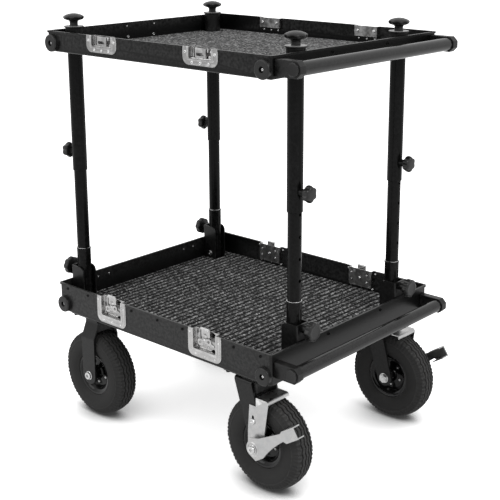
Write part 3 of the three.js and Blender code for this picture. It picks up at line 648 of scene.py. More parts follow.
def tray_form(height, recess):
    """A folded sheet tray with a rolled lip round its rim, cut out for the latches."""
    wall_x, wall_y = WALL
    lip_x, lip_y = TRAY["length"] / 2, TRAY["width"] / 2
    sheet, corner = TRAY["sheet"], TRAY["corner"]
    tray = tub(wall_x, wall_y, 0, height - 0.01, corner, TRAY["fold"])
    lip = pushed(rounded(-lip_x, lip_x, -lip_y, lip_y, corner + 1), "z", height - TRAY["lip_drop"], height)
    well = tub(wall_x - sheet, wall_y - sheet, sheet, height + 9, corner - sheet, TRAY["inner_fold"])
    carve(weld(tray, lip), well)
    half, gap = LATCH["recess"] / 2, LATCH["width"] / 2
    for x in (-LATCH["x"], LATCH["x"]):
        for side in (-1, 1):
            y = side * wall_y
            window = block((x - half, x + half), (y - side * 8, y + side * 3), (height - recess, height + 5))
            lip_gap = block((x - gap, x + gap), (y + side * 0.02, y + side * 9), (height - 8, height + 5))
            carve(tray, window, lip_gap)
    return soften(tray, 0.8, 3, 40)


def collar_form(top):
    """The cup that holds a post's head in the upper tray, with the top of its flange painted lighter as a
    highlight.
    """
    cup, flange, bore, inner = COLLAR["cup"], COLLAR["flange"], COLLAR["bore"], COLLAR["inner"]
    form = turned([(inner, 2), (cup, 2), (cup, top - 5), (flange - 1.5, top - 4), (flange, top - 3.6),
                   (flange, top - 0.8), (flange - 0.7, top), (bore + 0.2, top), (bore, top - 1),
                   (bore, top - 3), (inner, top - 3)], 48, closed=True)
    # Faces that look up take the lighter finish, a painted highlight
    return shade_faces(smooth(form), (POWDER, EDGE), lambda f: f.normal.z > 0.6 and f.center.z > top - 1)


def socket_screw(radius, height, socket, sides=24):
    """A round-headed screw, its head pointing up from zero, with a hexagon socket."""
    edge = min(radius, height) * 0.25
    head = turned([(radius, -0.5), (radius, height - edge), (radius - edge * 0.4, height - edge * 0.3),
                   (radius - edge, height)], sides)
    carve(head, rod(socket, "z", height * 0.35, height + 1, sides=6))
    return smooth(head)


RIVET_SHARES = [(1, 0.35), (0.88, 0.75), (0.62, 1), (0.4, 1), (0.25, 0.55)]


def dome_rivet(radius, height):
    """A rivet's dimpled dome, pointing up."""
    rings = [(radius * wide, height * high) for wide, high in RIVET_SHARES]
    return smooth(turned([(radius, -0.4)] + rings, 20), 60)


def bumper_form():
    """A round bumper on a tray's side, screwed on through its middle; it points up."""
    radius, height, bore, floor = BUMPER["radius"], BUMPER["height"], BUMPER["bore"], BUMPER["sunk"]
    disc = turned([(radius, -0.3), (radius, height - 3), (radius - 0.6, height - 1.4),
                   (radius - 2.4, height - 0.2), (radius - 4, height), (bore + 0.6, height),
                   (bore, height - 0.6), (bore, height - floor)], 48)
    screw = moved(socket_screw(radius=3.4, height=3, socket=1.8), 0, 0, height - floor)
    return gather(paint(smooth(disc), MOULDED), paint(screw, STEEL))


def seated_rivets(spots, radius=3.6, height=1.8, depth=2.2, way=-1, core=False):
    """Rivets that point out of a plate in the XZ plane, some with a dark core in the dimple as painted shade.
    """
    pins = []
    for x, z in spots:
        pin = paint(dome_rivet(radius, height), STEEL)
        if core:
            # The dark core is painted shade in the dimple
            pin = gather(pin, paint(rod(radius * 0.3, "z", 0, height * 0.8, sides=12), HOLLOW_SHADE))
        pins.append(moved(along(pin, "-y" if way < 0 else "y"), x, way * depth, z))
    return pins


def pressed_plate(foot, beads, width, recess):
    """A latch plate on a wall's face, its raised beads, and the pocket behind it, open at front and rim."""
    half, depth, wall = LATCH["width"] / 2, LATCH["depth"], LATCH["wall"]
    plate = pushed(rounded(-half, half, -foot, 0, LATCH["corner"], 0, 10), "y", -LATCH["plate"], SEAT)
    for inset, low, corner, proud, steps in beads:
        weld(plate, pushed(rounded(inset - half, half - inset, low, 0, corner, 0, steps), "y", -proud, -0.5))
    half = width / 2
    shell = block((-half, half), (-0.6, depth + wall), (-recess, 0))
    hollow = block((-half + wall, half - wall), (-6, depth), (-recess + wall, 6))

    def at_the_back_or_foot(edge):
        return min(v.co.y for v in edge.verts) > depth - 0.1 or max(v.co.z for v in edge.verts) < 0

    editing(hollow)
    pick_edges(hollow, at_the_back_or_foot)
    bpy.ops.mesh.bevel(offset=3.0, segments=3, affect="EDGES")
    done(hollow)
    return carve(weld(plate, shell), hollow)


def dish_form():
    """A recessed butterfly latch without its wing: dish, hook plate, boss and rivets, on a wall facing -Y."""
    foot, depth, floor = LATCH["dish"], LATCH["depth"], LATCH["depth"] + 0.5
    beads = [(4, -foot + 4, LATCH["corner"] - 4, 2.1, 8), (13, -foot + 14, 6, 2.7, 5)]
    dish = pressed_plate(foot, beads, LATCH["recess"], LATCH["dish_recess"])
    carve(dish, block((15, 25), (depth - 3, depth + 5), (-13, -3)))
    through = (depth - 4, depth + 4)
    wedge = pushed([(11, -48.6), (12, -46.6), (19, -43), (23, -44), (28.5, -49)], "y", *through)
    slot = pushed([(-37.2, -43), (-35, -42), (-26.6, -48.4), (-29, -49)], "y", *through)
    soften(carve(dish, wedge, slot), 0.5, 2, 35)
    # The pocket's outer back takes the darker plate as painted shade
    shade_faces(dish, (NICKEL, SHADED), lambda f: f.normal.y > 0.9 and f.center.y > depth + 1)
    ribs = [soften(block((x - 1.6, x + 1.6), (depth - 3.4, floor), (low, -1)), 0.8)
            for x, low in ((-36, -40), (-24, -35))]
    pad = soften(pushed(rounded(-38, -33, -36, -25, 2.4, steps=6), "y", depth - 3.8, floor), 0.6)
    fold = soften(block((9, 34), (depth - 2.6, floor), (-33, -29)), 0.8)
    moved(swung(fold, math.radians(24), "Y"), 4, 0, 6)
    lip_y, lip_z, lip = 2.2, 7, 2.8
    outline = [(10, -15), (10, -12.6), (5, -12.6), (5, lip_z)] + arc(lip_y, lip_z, lip, 0, 180, 6)
    outline += [(-2.4, 5.4), (-1.2, 5.4)] + arc(lip_y, lip_z, lip - 1.6, 180, 0, 4)[1:-1]
    outline += [(3.2, 6.8), (3.2, -15)]
    hook = pushed(outline, "x", -14, 14)
    carve(hook, block((-6, 2), (0, 8), (-8.2, -5.6)))
    boss = turned([(6, -3), (6, 1), (5.4, 2), (4, 2.7), (2, 3)], 32)
    boss.data.transform(Matrix.Translation((0, 3.4, -13)) @ WAYS["-y"] @ Matrix.Diagonal((1, 0.75, 0.85, 1)))
    bright = [paint(part, NICKEL) for part in (soften(hook, 0.5), smooth(boss, 60), *ribs, pad, fold)]
    # A darker strip in the recess: painted shade
    channel = paint(block((-34, -27), (depth - 0.5, depth + 0.3), (-25, -3)), SHADED)
    back_x, back_z = (-38, 36), (-49.6, -2)
    # A black sheet behind the holes is painted shade seen through them; the darker plate behind it covers it
    # from the back
    backing = paint(block(back_x, (depth + 0.9, depth + 1.1), back_z), HOLLOW_SHADE)
    back_sheet = paint(block(back_x, (depth + 1.1, depth + 1.25), back_z), SHADED)
    front_spots = [(-49, -10), (46.5, -17), (-30, -62), (1.5, -62), (35, -61)]
    back_spots = [(29, -14.5), (29, -34), (-23, -14.5), (-23, -35)]
    flange_spots = [(46, -8), (-46, -8), (38, -54), (0, -54.5), (-38, -54)]
    pins = seated_rivets(front_spots, radius=2.9, height=1.1, depth=1.9)
    deep = seated_rivets([(-19, -42), (1.5, -43)], radius=2.8, height=1.4, depth=0, core=True)
    pins += [moved(pin, 0, depth, 0) for pin in deep]
    behind = depth + 1.2
    nuts = seated_rivets(back_spots, radius=2.7, height=1.4, depth=behind, way=1)
    nuts += seated_rivets([(0, -25)], radius=4.4, height=2.6, depth=behind, way=1)
    nuts += seated_rivets(flange_spots, radius=3.4, height=2, depth=TRAY["sheet"], way=1)
    return gather(dish, channel, *bright, *pins, *nuts, backing, back_sheet)


def wing_form():
    """The turning handle of a latch: two pierced leaves on a domed hub. It faces -Y."""
    leaves = []
    for turn in (0, math.pi):
        leaf = pushed(rounded(4, LATCH["wing"], -8, 8, 6.6, steps=6), "y", -1.4, 0.3)
        carve(leaf, pushed(rounded(10.4, 18, -3.2, 3.2, 3.1, steps=6), "y", -4, 4))
        leaves.append(soften(swung(leaf, turn - math.radians(LATCH["tilt"]), "Y"), 0.45, 2, 40))
    hub = turned([(8.2, 0), (8.2, 8.6), (7.8, 10.2), (6.6, 11.4), (4.6, 12), (3, 12), (2.6, 11.2)], 36)
    moved(along(hub, "-y"), 0, 9, 0)
    return gather(*[paint(part, NICKEL) for part in (*leaves, smooth(hub, 50))])


def keeper_form():
    """A latch's keeper on the upper tray: a stepped pan with a staple bridge and its screws, facing -Y."""
    recess, depth, floor = LATCH["keeper_recess"], LATCH["depth"], LATCH["depth"] + 0.5
    pan = pressed_plate(LATCH["keeper"], [(13, -recess - 2.5, 5, 2.3, 5)], LATCH["recess"] - 4, recess)
    soften(pan, 0.5, 2, 35)
    # The pan's back faces take the darker plate as painted shade
    shade_faces(pan, (PAN, SHADED), lambda f: abs(f.normal.y) > 0.9 and f.center.y > depth - 0.3)
    front, back = 0.8, 3.8
    bridge = pushed([(-20, depth), (-18.8, 2.2), (-17.6, front), (13.6, front), (14.8, 2.2), (16, depth),
                     (13.6, depth), (12.4, back), (-15.2, back), (-17.4, depth)], "z", -23.5, -1.5)
    carve(bridge, block((-13.6, 8.6), (-3, 8), (-19, -12.4)))
    soften(bridge, 0.6)
    ledge = soften(block((-35.6, 35.6), (depth - 8, floor), (-27.4, -24.2)), 1)
    ribs = [soften(block((x - 1.5, x + 1.5), (depth - 5, floor), (-23, -2)), 0.8) for x in (-34, -28.6)]
    step = soften(block((19, 34), (depth - 4.5, floor), (-24.5, -18)), 1)
    brace = soften(block((17, 21), (depth - 7, floor), (-10, -3)), 0.8)
    # The slot's back is painted darker as shade
    slot_back = paint(block((-17, 12), (depth - 0.8, depth - 0.3), (-21, -10.5)), SHADED)
    bright = [paint(part, NICKEL) for part in (ledge, *ribs, brace)]
    spots = [(-46.5, -12), (46.5, -12), (-25, -34.5), (1, -35), (27, -34.5)]
    pins = seated_rivets(spots, radius=3.8, height=2.0, depth=1.6, core=True)
    deep = seated_rivets([(29, -8)], radius=3.4, height=1.8, depth=0, core=True)
    pins += [moved(pin, 0, 6, 0) for pin in deep]
    nuts = seated_rivets(spots[2:], radius=3.2, height=2, depth=TRAY["sheet"], way=1)
    nuts += seated_rivets([(-26, -13), (26, -13)], radius=4, height=2, depth=depth + 1.2, way=1)
    return gather(pan, paint(bridge, PAN), *bright, paint(step, PAN), *pins, *nuts, slot_back)


# Carpets
CARPET = {"gap": 1.5, "edge_drop": 1.4, "edge_width": 6, "foot_share": 0.2, "lower": 17.2, "upper": 5}
RIB = {"pitch": 18, "depth": 3.0, "tuft": 11, "tuft_depth": 1.1, "stagger_share": 0.37, "uneven": 0.35}
LOOP = {"uneven": 0.5, "sunk": 0.4}


def carpet_form(size, thickness, relief, cells, notches, material):
    """A carpet drawn out of a grid that rises and falls by a relief, cut away round the post fittings."""
    length, width = size
    mat = start("grid", x_subdivisions=cells[0], y_subdivisions=cells[1], size=1, location=(0, 0, thickness))
    mat.scale = (length, width, 1)
    settle(mat)
    for vertex in mat.data.vertices:
        edge = min(length / 2 - abs(vertex.co.x), width / 2 - abs(vertex.co.y))
        vertex.co.z += relief(vertex.co) - CARPET["edge_drop"] * max(0.0, 1 - edge / CARPET["edge_width"])
    foot = thickness * CARPET["foot_share"]
    editing(mat)
    extrude((0, 0, foot - thickness))
    bpy.ops.transform.resize(value=(1, 1, 0), center_override=(0, 0, foot))
    bpy.ops.mesh.dissolve_faces()
    done(mat)
    carve(mat, *notches)
    return paint(smooth(mat, 60), material)


def ribs_relief(place):
    """Rounded ribs of tufts that run along Y, with a little unevenness."""
    phase = place.x / RIB["pitch"]
    rib = RIB["depth"] * (abs(math.sin(phase * math.pi)) ** 0.55 - 1)
    shift = RIB["stagger_share"] * math.floor(phase)
    tuft = RIB["tuft_depth"] * (abs(math.sin(math.pi * (place.y / RIB["tuft"] + shift))) ** 0.6 - 1)
    return rib + tuft + RIB["uneven"] * noise.noise(Vector((place.x * 0.9, place.y * 0.16, 1)))


def loops_relief(place):
    return LOOP["uneven"] * noise.noise(Vector((place.x * 0.35, place.y * 0.35, 5))) - LOOP["sunk"]


# Posts and brackets, drawn for the +X end about the post's axis, with zero at the lower tray's underside
ROUND = 56
POST = {"tube": 16.75, "bore": 14.75, "socket": 18.5, "top": 522, "socket_top": 169, "foot": 7, "upper": 19,
        "upper_bore": 17.1, "upper_foot": 383, "head_bore": 6.8, "knob": 431, "boss": 9, "boss_end": 30,
        "pivot": 34, "pivot_bore": 5.6, "clamp": 105, "pitch": 53, "holes": 4, "hole": 4, "stud_bore": 4.3,
        "slot_low": 121, "slot_high": 150, "slot_half": 4.25, "slot_depth": 1.6}


def lower_post_form():
    """The slotted socket, its ring with a thin bright line as a painted highlight, and the perforated tube
    that stands in it.
    """
    low, ring, top = POST["foot"], POST["socket_top"], POST["top"]
    outer, tube, bore = POST["socket"], POST["tube"], POST["bore"]
    socket = turned([(bore, low), (outer - 0.6, low), (outer, low + 0.8), (outer, ring - 4),
                     (bore, ring - 4)], ROUND, closed=True)
    half, depth = POST["slot_half"], POST["slot_depth"]
    slot = rounded(-half, half, POST["slot_low"], POST["slot_high"], half * 0.98, steps=6)
    for quarter in range(4):
        carve(socket, swung(pushed(slot, "x", outer - depth, outer + 4), quarter * QUARTER, "Z"))
    carve(socket, rod(POST["pivot_bore"], "y", -30, 30, at=(0, 0, POST["pivot"])))
    soften(socket, 0.4, 2, 40)
    collar = turned([(tube + 0.05, ring - 4), (outer + 0.9, ring - 4), (outer + 0.9, ring - 1.6),
                     (outer + 0.1, ring - 0.4), (tube + 0.5, ring), (tube + 0.05, ring)], ROUND, closed=True)
    column = turned([(bore, ring - 6), (tube, ring - 6), (tube, top - 0.8), (tube - 0.8, top), (bore, top)],
                    ROUND, closed=True)
    for step in range(1, POST["holes"] + 1):
        height = POST["knob"] - step * POST["pitch"]
        carve(column, rod(POST["hole"], "x", 8, 25, at=(0, 0, height), sides=24))
    # A thin bright steel ring at the collar's top: a painted highlight on the ring's edge
    line = turned([(tube + 0.05, ring - 2), (tube + 1.6, ring - 2), (tube + 1.6, ring - 0.2),
                   (tube + 1.1, ring + 0.3), (tube + 0.05, ring + 0.3)], ROUND, closed=True)
    return gather(paint(socket, TUBE), paint(smooth(collar), TUBE), paint(line, STEEL),
                  paint(soften(column, 0.35, 2, 40), TUBE))


def upper_post_form(top):
    """The sliding tube, the plug in its head and the boss of its height knob."""
    outer, bore, foot, head_bore = POST["upper"], POST["upper_bore"], POST["upper_foot"], POST["head_bore"]
    tube = turned([(bore, foot), (outer - 0.5, foot), (outer, foot + 0.6), (outer, top - 0.5),
                   (outer - 0.5, top), (head_bore, top), (head_bore, top - 10), (bore, top - 10)],
                  ROUND, closed=True)
    seat = (0, 0, POST["knob"])
    weld(tube, rod(POST["boss"], "x", bore + 0.6, POST["boss_end"], at=seat, sides=36))
    carve(tube, rod(POST["stud_bore"], "x", 12, POST["boss_end"] + 4, at=seat, sides=24))
    return paint(soften(tube, 0.7, 2, 40), TUBE)


BRACKET = {"reach": 20, "ear": 18.8, "sheet": 3.5, "web": 4, "low": 3.4, "top": 117, "bend": 5,
           "inner_bend": 1.5, "corner": 16, "boss": 10, "boss_bore": 5.3, "boss_reach": 15, "bolt": 5}


def bracket_form(web_outer):
    """The folded channel that holds a post's foot, with its pivot bolt and the clamp knob's boss."""
    ear, outer = BRACKET["ear"], BRACKET["ear"] + BRACKET["sheet"]
    reach, web_inner = BRACKET["reach"], web_outer - BRACKET["web"]
    bend, inner_bend = BRACKET["bend"], BRACKET["inner_bend"]
    low, top, corner = BRACKET["low"], BRACKET["top"], BRACKET["corner"]
    channel = [(-reach, -outer)] + arc(web_outer - bend, -outer + bend, bend, -90, 0, 5)
    channel += arc(web_outer - bend, outer - bend, bend, 0, 90, 5) + [(-reach, outer), (-reach, ear)]
    channel += arc(web_inner - inner_bend, ear - inner_bend, inner_bend, 90, 0, 3)
    channel += arc(web_inner - inner_bend, -ear + inner_bend, inner_bend, 0, -90, 3) + [(-reach, -ear)]
    side = [(-reach, low), (web_outer, low), (web_outer, top)]
    side += arc(corner - reach, top - corner, corner, 90, 180, 8)
    folded = meet(pushed(channel, "z", low, top), pushed(side, "y", -outer - 2, outer + 2))
    clamp = (0, 0, POST["clamp"])
    weld(folded, rod(BRACKET["boss"], "x", web_outer - 1, web_outer + BRACKET["boss_reach"], at=clamp))
    carve(folded, rod(BRACKET["boss_bore"], "x", web_inner - 5, web_outer + 20, at=clamp, sides=24))
    soften(folded, 0.9, 3, 35)
    heads = []
    for way, hand in (("-y", -1), ("y", 1)):
        head = turned([(8.5, 0), (8.5, 1.4), (6.6, 1.5), (6.4, 3.4), (5.4, 4)], 32)
        carve(head, rod(3, "z", 1.8, 6, sides=6))
        heads.append(moved(along(head, way), 0, hand * outer, POST["pivot"]))
    shank = rod(BRACKET["bolt"], "y", -ear - 1, ear + 1, at=(0, 0, POST["pivot"]), sides=20)
    return gather(paint(folded, POWDER), *[paint(smooth(part), STEEL) for part in (*heads, shank)])


# Knobs stand on their seat at zero and point up
def knob_form(profile, stud, stud_length, lobes, flute, head_low, head_high, sharp=1.0):
    """A moulded knob: its head's rings are drawn in by flutes, most at half the head's height."""
    knob = turned(profile, lobes * 14)
    middle, half = (head_low + head_high) / 2, (head_high - head_low) / 2
    for vertex in knob.data.vertices:
        share = 1 - min(1.0, abs(vertex.co.z - middle) / half) ** 2
        angle = math.atan2(vertex.co.y, vertex.co.x)
        wave = ((1 - math.cos(lobes * angle)) / 2) ** sharp
        shrink = 1 - flute * share * wave
        vertex.co.x *= shrink
        vertex.co.y *= shrink
    stem = rod(stud, "z", -stud_length, 1, sides=20)
    return gather(paint(smooth(knob, 50), MOULDED), paint(smooth(stem), STEEL))


def top_knob_form():
    profile = [(10.6, 0), (10.4, 12), (10.8, 16), (13, 18.6), (18.6, 20), (23.4, 21.6), (26, 24.2),
               (26.6, 27), (26.3, 28.8), (25.2, 30), (22, 32), (17.4, 34), (11, 35.8), (5, 36.7), (2, 36.9)]
    return knob_form(profile, stud=6, stud_length=12, lobes=8, flute=0.14, head_low=16, head_high=31)


def clamp_knob_form(stud_length):
    profile = [(8.5, 0), (8.5, 2.4), (12, 3), (20.5, 3.6), (23, 5), (24.3, 8), (24.5, 12), (24, 16.4),
               (22.6, 19), (20, 20.4), (16.5, 20.9), (15.5, 20.2), (9, 20), (2, 20.1)]
    return knob_form(profile, 5, stud_length, lobes=8, flute=0.12, head_low=1, head_high=24, sharp=1.4)


def height_knob_form(stud_length):
    profile = [(7, 0), (7, 1.4), (9, 2.6), (15.6, 3.2), (19, 5), (20.6, 8), (21, 12), (20.4, 16), (18.6, 19),
               (15, 20.6), (9, 21), (2, 21)]
    return knob_form(profile, 4, stud_length, lobes=6, flute=0.24, head_low=2, head_high=23, sharp=1.2)


# Push handles
HANDLE = {"axis": 52.5, "bar": 16, "wall": 2.5, "arm": 38, "thick": 20, "outer": 306, "cap": 15.8,
          "chamfer": 11}


def bar_form():
    end, radius = HANDLE["outer"] - HANDLE["thick"] - SEAT, HANDLE["bar"]
    bore = radius - HANDLE["wall"]
    bar = turned([(bore, -end), (radius - 0.4, -end), (radius, 0.6 - end), (radius, end - 0.6),
                  (radius - 0.4, end), (bore, end)], ROUND, closed=True)
    return paint(smooth(along(bar, "y")), BAR)


def arm_form():
    """A flat arm with a chamfered outer end and a round bolt cap, for the -Y side."""
    half, chamfer, cap = HANDLE["arm"] / 2, HANDLE["chamfer"], HANDLE["cap"]
    tip = HANDLE["axis"] + half
    outline = [(SEAT, -half), (tip - chamfer, -half), (tip, chamfer - half), (tip, half - chamfer),
               (tip - chamfer, half), (SEAT, half)]
    arm = soften(pushed(outline, "y", -HANDLE["outer"], HANDLE["thick"] - HANDLE["outer"]), 1.1, 3)
    disc = turned([(cap, -0.4), (cap, 2.6), (cap - 0.5, 3.3), (cap - 1.3, 3.7), (cap - 2.2, 3.6),
                   (cap - 2.8, 3.1), (2, 3)], ROUND)
    moved(along(disc, "-y"), HANDLE["axis"], -HANDLE["outer"], 0)
    return gather(paint(arm, POWDER), paint(smooth(disc, 50), BAR))


# Wheels turn about Y
TYRE = {"radius": 118, "half": 34.5, "lip": 59.3, "tread": 26.5, "drop": 5.5, "groove": 4.2, "teeth": 68,
        "grooves": (15.6, 5.2), "zigzag": 1.5, "zigzag_reach": 18.5, "zigzag_ring": 108, "tooth": 1.3,
        "tooth_band": (20, 31), "tooth_ring": (102, 116), "tooth_share": 0.3, "tooth_narrow_share": 0.97}
SIDEWALL_SHARES = [(0.0, 0.7), (0.035, 0.79), (0.075, 0.82), (0.1, 0.845), (0.17, 0.9), (0.25, 0.955),
                   (0.34, 0.99), (0.44, 1.0), (0.54, 0.985), (0.62, 0.955), (0.63, 0.972), (0.66, 0.96),
                   (0.67, 0.94), (0.75, 0.885), (0.82, 0.83), (0.86, 0.79)]


def tyre_form():
    """A pneumatic tyre: bead, sidewall with a moulded line, toothed shoulder and zigzag ribs."""
    rise, tread = TYRE["radius"] - TYRE["lip"], TYRE["tread"]

    def crown(y):
        return TYRE["radius"] - TYRE["drop"] * (y / tread) ** 2

    half = [(50.6, 15), (51, 19), (55, 22.6)]
    half += [(TYRE["lip"] + rise * high, TYRE["half"] * wide) for high, wide in SIDEWALL_SHARES]
    half += [(crown(tread) - 1.2, tread + 0.4), (crown(25.4), 25.4), (crown(21), 21)]
    for middle in TYRE["grooves"]:
        low, brink = crown(middle) - TYRE["groove"], crown(middle) - 0.2
        half += [(brink, middle + 1.9), (low, middle + 1.2), (low, middle - 1.2), (brink, middle - 1.9)]
        half += [(crown(middle - 5), middle - 5)] if middle > 10 else []
    profile = half + [(TYRE["radius"], 0)] + [(r, -y) for r, y in reversed(half)]
    tyre = turned(profile, TYRE["teeth"] * 4, closed=True)
    (near, far), (low, high) = TYRE["tooth_band"], TYRE["tooth_ring"]
    for vertex in tyre.data.vertices:
        radius = math.hypot(vertex.co.x, vertex.co.y)
        turn = math.atan2(vertex.co.y, vertex.co.x) / (2 * math.pi) * TYRE["teeth"]
        wave = abs((turn * 0.5) % 1 - 0.5) * 4 - 1
        if radius > TYRE["zigzag_ring"] and abs(vertex.co.z) < TYRE["zigzag_reach"]:
            vertex.co.z += TYRE["zigzag"] * wave
        toothed = near < abs(vertex.co.z) < far and low < radius < high
        if toothed and (turn % 1) < TYRE["tooth_share"]:
            shrink = 1 - TYRE["tooth"] / radius
            vertex.co.x *= shrink
            vertex.co.y *= shrink
            vertex.co.z *= TYRE["tooth_narrow_share"]
    return paint(smooth(along(tyre, "y"), 30), RUBBER)


RIM = {"bolts": 5, "bolt_circle": 29, "bolt_seat": 6.6, "seal": 36.6, "valve": (0, 44.5, 8)}


def rim_form():
    """A steel rim of two pressed halves, bolted together round a hub, with its valve."""
    half = [(8.5, 36.8), (15.8, 36.8), (17, 35.8), (17, 13), (19.5, 9.5), (24, 7.6), (34, 5.4), (38.5, 6.4),
            (42.5, 12), (45.5, 19.5), (49.5, 23.4), (54.5, 25.6), (58.2, 26.2), (60.3, 25.2), (60, 23.9),
            (56.5, 22.6), (52, 20), (50.3, 15)]
    rim = smooth(turned(half + [(r, -y) for r, y in reversed(half)], 72, closed=True), 30)
    shade_faces(rim, (GLOSS, BAR), lambda f: math.hypot(f.center.x, f.center.y) > 55 and abs(f.center.z) > 21)
    bolts, seals = [], []
    for i in range(RIM["bolts"]):
        angle = math.radians(360 / RIM["bolts"] * i + 20)
        x, y = RIM["bolt_circle"] * math.cos(angle), RIM["bolt_circle"] * math.sin(angle)
        for side in (-1, 1):
            head = turned([(3.6, 0), (3.6, 2.6), (3, 3.1)], 6)
            washer = turned([(4.8, -0.6), (4.8, 0.4), (4.4, 0.7)], 24)
            bolt = gather(paint(smooth(head), SHADED), paint(smooth(washer), GLOSS))
            bolts.append(moved(flipped(bolt, side), x, y, side * RIM["bolt_seat"]))
    for side in (-1, 1):
        seal = turned([(9.5, 0), (14, 0), (14, 0.5), (13.4, 0.9), (10, 0.9), (9.5, 0.5)], 36, closed=True)
        seals.append(paint(smooth(moved(flipped(seal, side), 0, 0, side * RIM["seal"])), STEEL))
    valve = turned([(2.6, 0), (2.6, 7), (3.4, 7.6), (3.4, 14), (2.8, 15)], 16)
    moved(swung(valve, math.radians(18), "X"), *RIM["valve"])
    return along(gather(rim, *bolts, *seals, paint(smooth(valve), MOULDED)), "y")


# Forks, axles and top plates, drawn about the axle
FORK = {"inner": 37.5, "sheet": 5, "bend": 9, "rise": 159.4, "strap": 50, "top_half": 26, "flare_low": 108,
        "flare_high": 147, "flare_round": 3, "leg_top": 54, "leg_toe": 22, "crown": 36, "trail": 48,
        "stop": 132, "stop_x": (-32, -5), "brace": 124, "brace_x": (-22, 22), "brace_y": (-23, 23),
        "bore": 8.3, "axle": 8}
OUTER = FORK["inner"] + FORK["sheet"]


def axle_form(head_face):
    """An axle bolt for the -Y side: socket head and washer outside, nut and thread end inside."""
    parts = [rod(FORK["axle"], "y", -head_face - 1, OUTER + 9, sides=28)]
    head = turned([(12, 0), (12, 1), (11.5, 1.5), (10.2, 1.6), (10.2, 5.4), (9.4, 6.6), (8, 6.9)], 40)
    carve(head, rod(4.8, "z", 3, 9, sides=6))
    parts.append(moved(smooth(along(head, "-y")), 0, -head_face - 0.1, 0))
    nut = weld(turned([(12, 1.4), (12, 7.6), (10.6, 8.4)], 6), turned([(13.6, 0.2), (13.6, 1.5)], 36))
    parts.append(moved(soften(along(nut, "y"), 0.5), 0, OUTER, 0))
    return paint(gather(*[smooth(part) for part in parts]), STEEL)


PLATE = {"length": 114, "width": 102, "thick": 4.9, "corner": 8, "bolt_x": 46, "bolt_y": 40}


def top_plate(low):
    """A caster's top plate with four bolts."""
    half_x, half_y = PLATE["length"] / 2, PLATE["width"] / 2
    outline = rounded(-half_x, half_x, -half_y, half_y, PLATE["corner"])
    parts = [paint(soften(pushed(outline, "z", low, low + PLATE["thick"]), 0.8), POWDER)]
    for x in (-PLATE["bolt_x"], PLATE["bolt_x"]):
        for y in (-PLATE["bolt_y"], PLATE["bolt_y"]):
            bolt = turned([(6.4, 1), (6.4, -6), (5.4, -7)], 6)
            parts.append(paint(moved(smooth(bolt), x, y, low), TUBE))
    return parts


def bent_out(z):
    """How far a rigid fork's strap stands out at a height above the axle."""
    share = min(1.0, max(0.0, (z - FORK["flare_low"]) / (FORK["flare_high"] - FORK["flare_low"])))
    return OUTER + (FORK["top_half"] - OUTER) * share


def rigid_fork_form(top):
    """Two straps under a plate: each is cut flat, creased, bent in above the tyre and given its thickness."""
    width, crease = FORK["strap"] / 2, FORK["flare_round"]
    straps = []
    for side in (-1, 1):
        outline = [(width, top + 1), (-width, top + 1), (-width, 0)] + arc(0, 0, width, 180, 360, 18)[1:]
        strap = outlined(outline, "y", 0)
        editing(strap)
        for middle in (FORK["flare_low"], FORK["flare_high"]):
            for offset in (-crease, 0, crease):
                bpy.ops.mesh.select_all(action="SELECT")
                bpy.ops.mesh.bisect(plane_co=(0, 0, middle + offset), plane_no=(0, 0, 1))
        bpy.ops.object.mode_set(mode="OBJECT")
        for vertex in strap.data.vertices:
            z = vertex.co.z
            vertex.co.y = side * (bent_out(z - crease) + bent_out(z) + bent_out(z + crease)) / 3
        editing(strap)
        done(strap)
        if sum(f.normal.y * f.area for f in strap.data.polygons) * side < 0:
            strap.data.flip_normals()
        worked(strap, "SOLIDIFY", thickness=FORK["sheet"], offset=-1, use_even_offset=True)
        carve(strap, rod(FORK["bore"], "y", side * 20, side * 60))
        straps.append(paint(soften(strap, 0.8, 2, 50), POWDER))
    brace = soften(block(FORK["brace_x"], FORK["brace_y"], (FORK["brace"], top + 1)), 0.8)
    return gather(*straps, paint(brace, POWDER), *top_plate(top))


def swivel_fork_form():
    """A bent crown and two legs that taper to the axle, with a stop block and the -Y side's brake guide."""
    top, inner, bend, sheet = FORK["rise"], FORK["inner"], FORK["bend"], FORK["sheet"]
    under, small = top - sheet, bend - sheet
    arch = [(OUTER, -30)] + arc(OUTER - bend, top - bend, bend, 0, 90, 8)
    arch += arc(bend - OUTER, top - bend, bend, 90, 180, 8) + [(-OUTER, -30), (-inner, -30)]
    arch += arc(small - inner, under - small, small, 180, 90, 6)
    arch += arc(inner - small, under - small, small, 90, 0, 6) + [(inner, -30)]
    trail, half, toe, bore = FORK["trail"], FORK["leg_top"] / 2, FORK["leg_toe"], FORK["bore"]
    back, front = (-trail - half, top + 1), (-trail + half, top + 1)

    def touch(point, hand):
        distance = math.hypot(*point)
        return math.degrees(math.atan2(point[1], point[0]) + hand * math.acos(toe / distance))

    leg = [front, back] + arc(0, 0, toe, touch(back, 1), touch(front, -1) + 360, 24)
    legs = meet(pushed(arch, "x", -trail - half - 2, toe + 2), pushed(leg, "y", -60, 60))
    weld(legs, moved(turned([(FORK["crown"], under), (FORK["crown"], top)], ROUND), -trail, 0, 0))
    carve(legs, rod(bore, "y", -60, 60), rod(bore, "z", under - 5, top + 5, at=(-trail, 0, 0)))
    weld(legs, block(FORK["stop_x"], (-inner + 1, inner - 1), (FORK["stop"], under + 1)))
    soften(legs, 0.8, 2, 35)
    guide = turned([(2.6, 0), (2.6, 4), (7.4, 4), (7.4, 6), (6.4, 7.4), (4, 7.8), (3.4, 6.6)], 32)
    moved(along(guide, "-y"), BRAKE["guide_x"], -OUTER + 0.1, BRAKE["guide_z"])
    return gather(paint(legs, POWDER), paint(smooth(guide), STEEL))


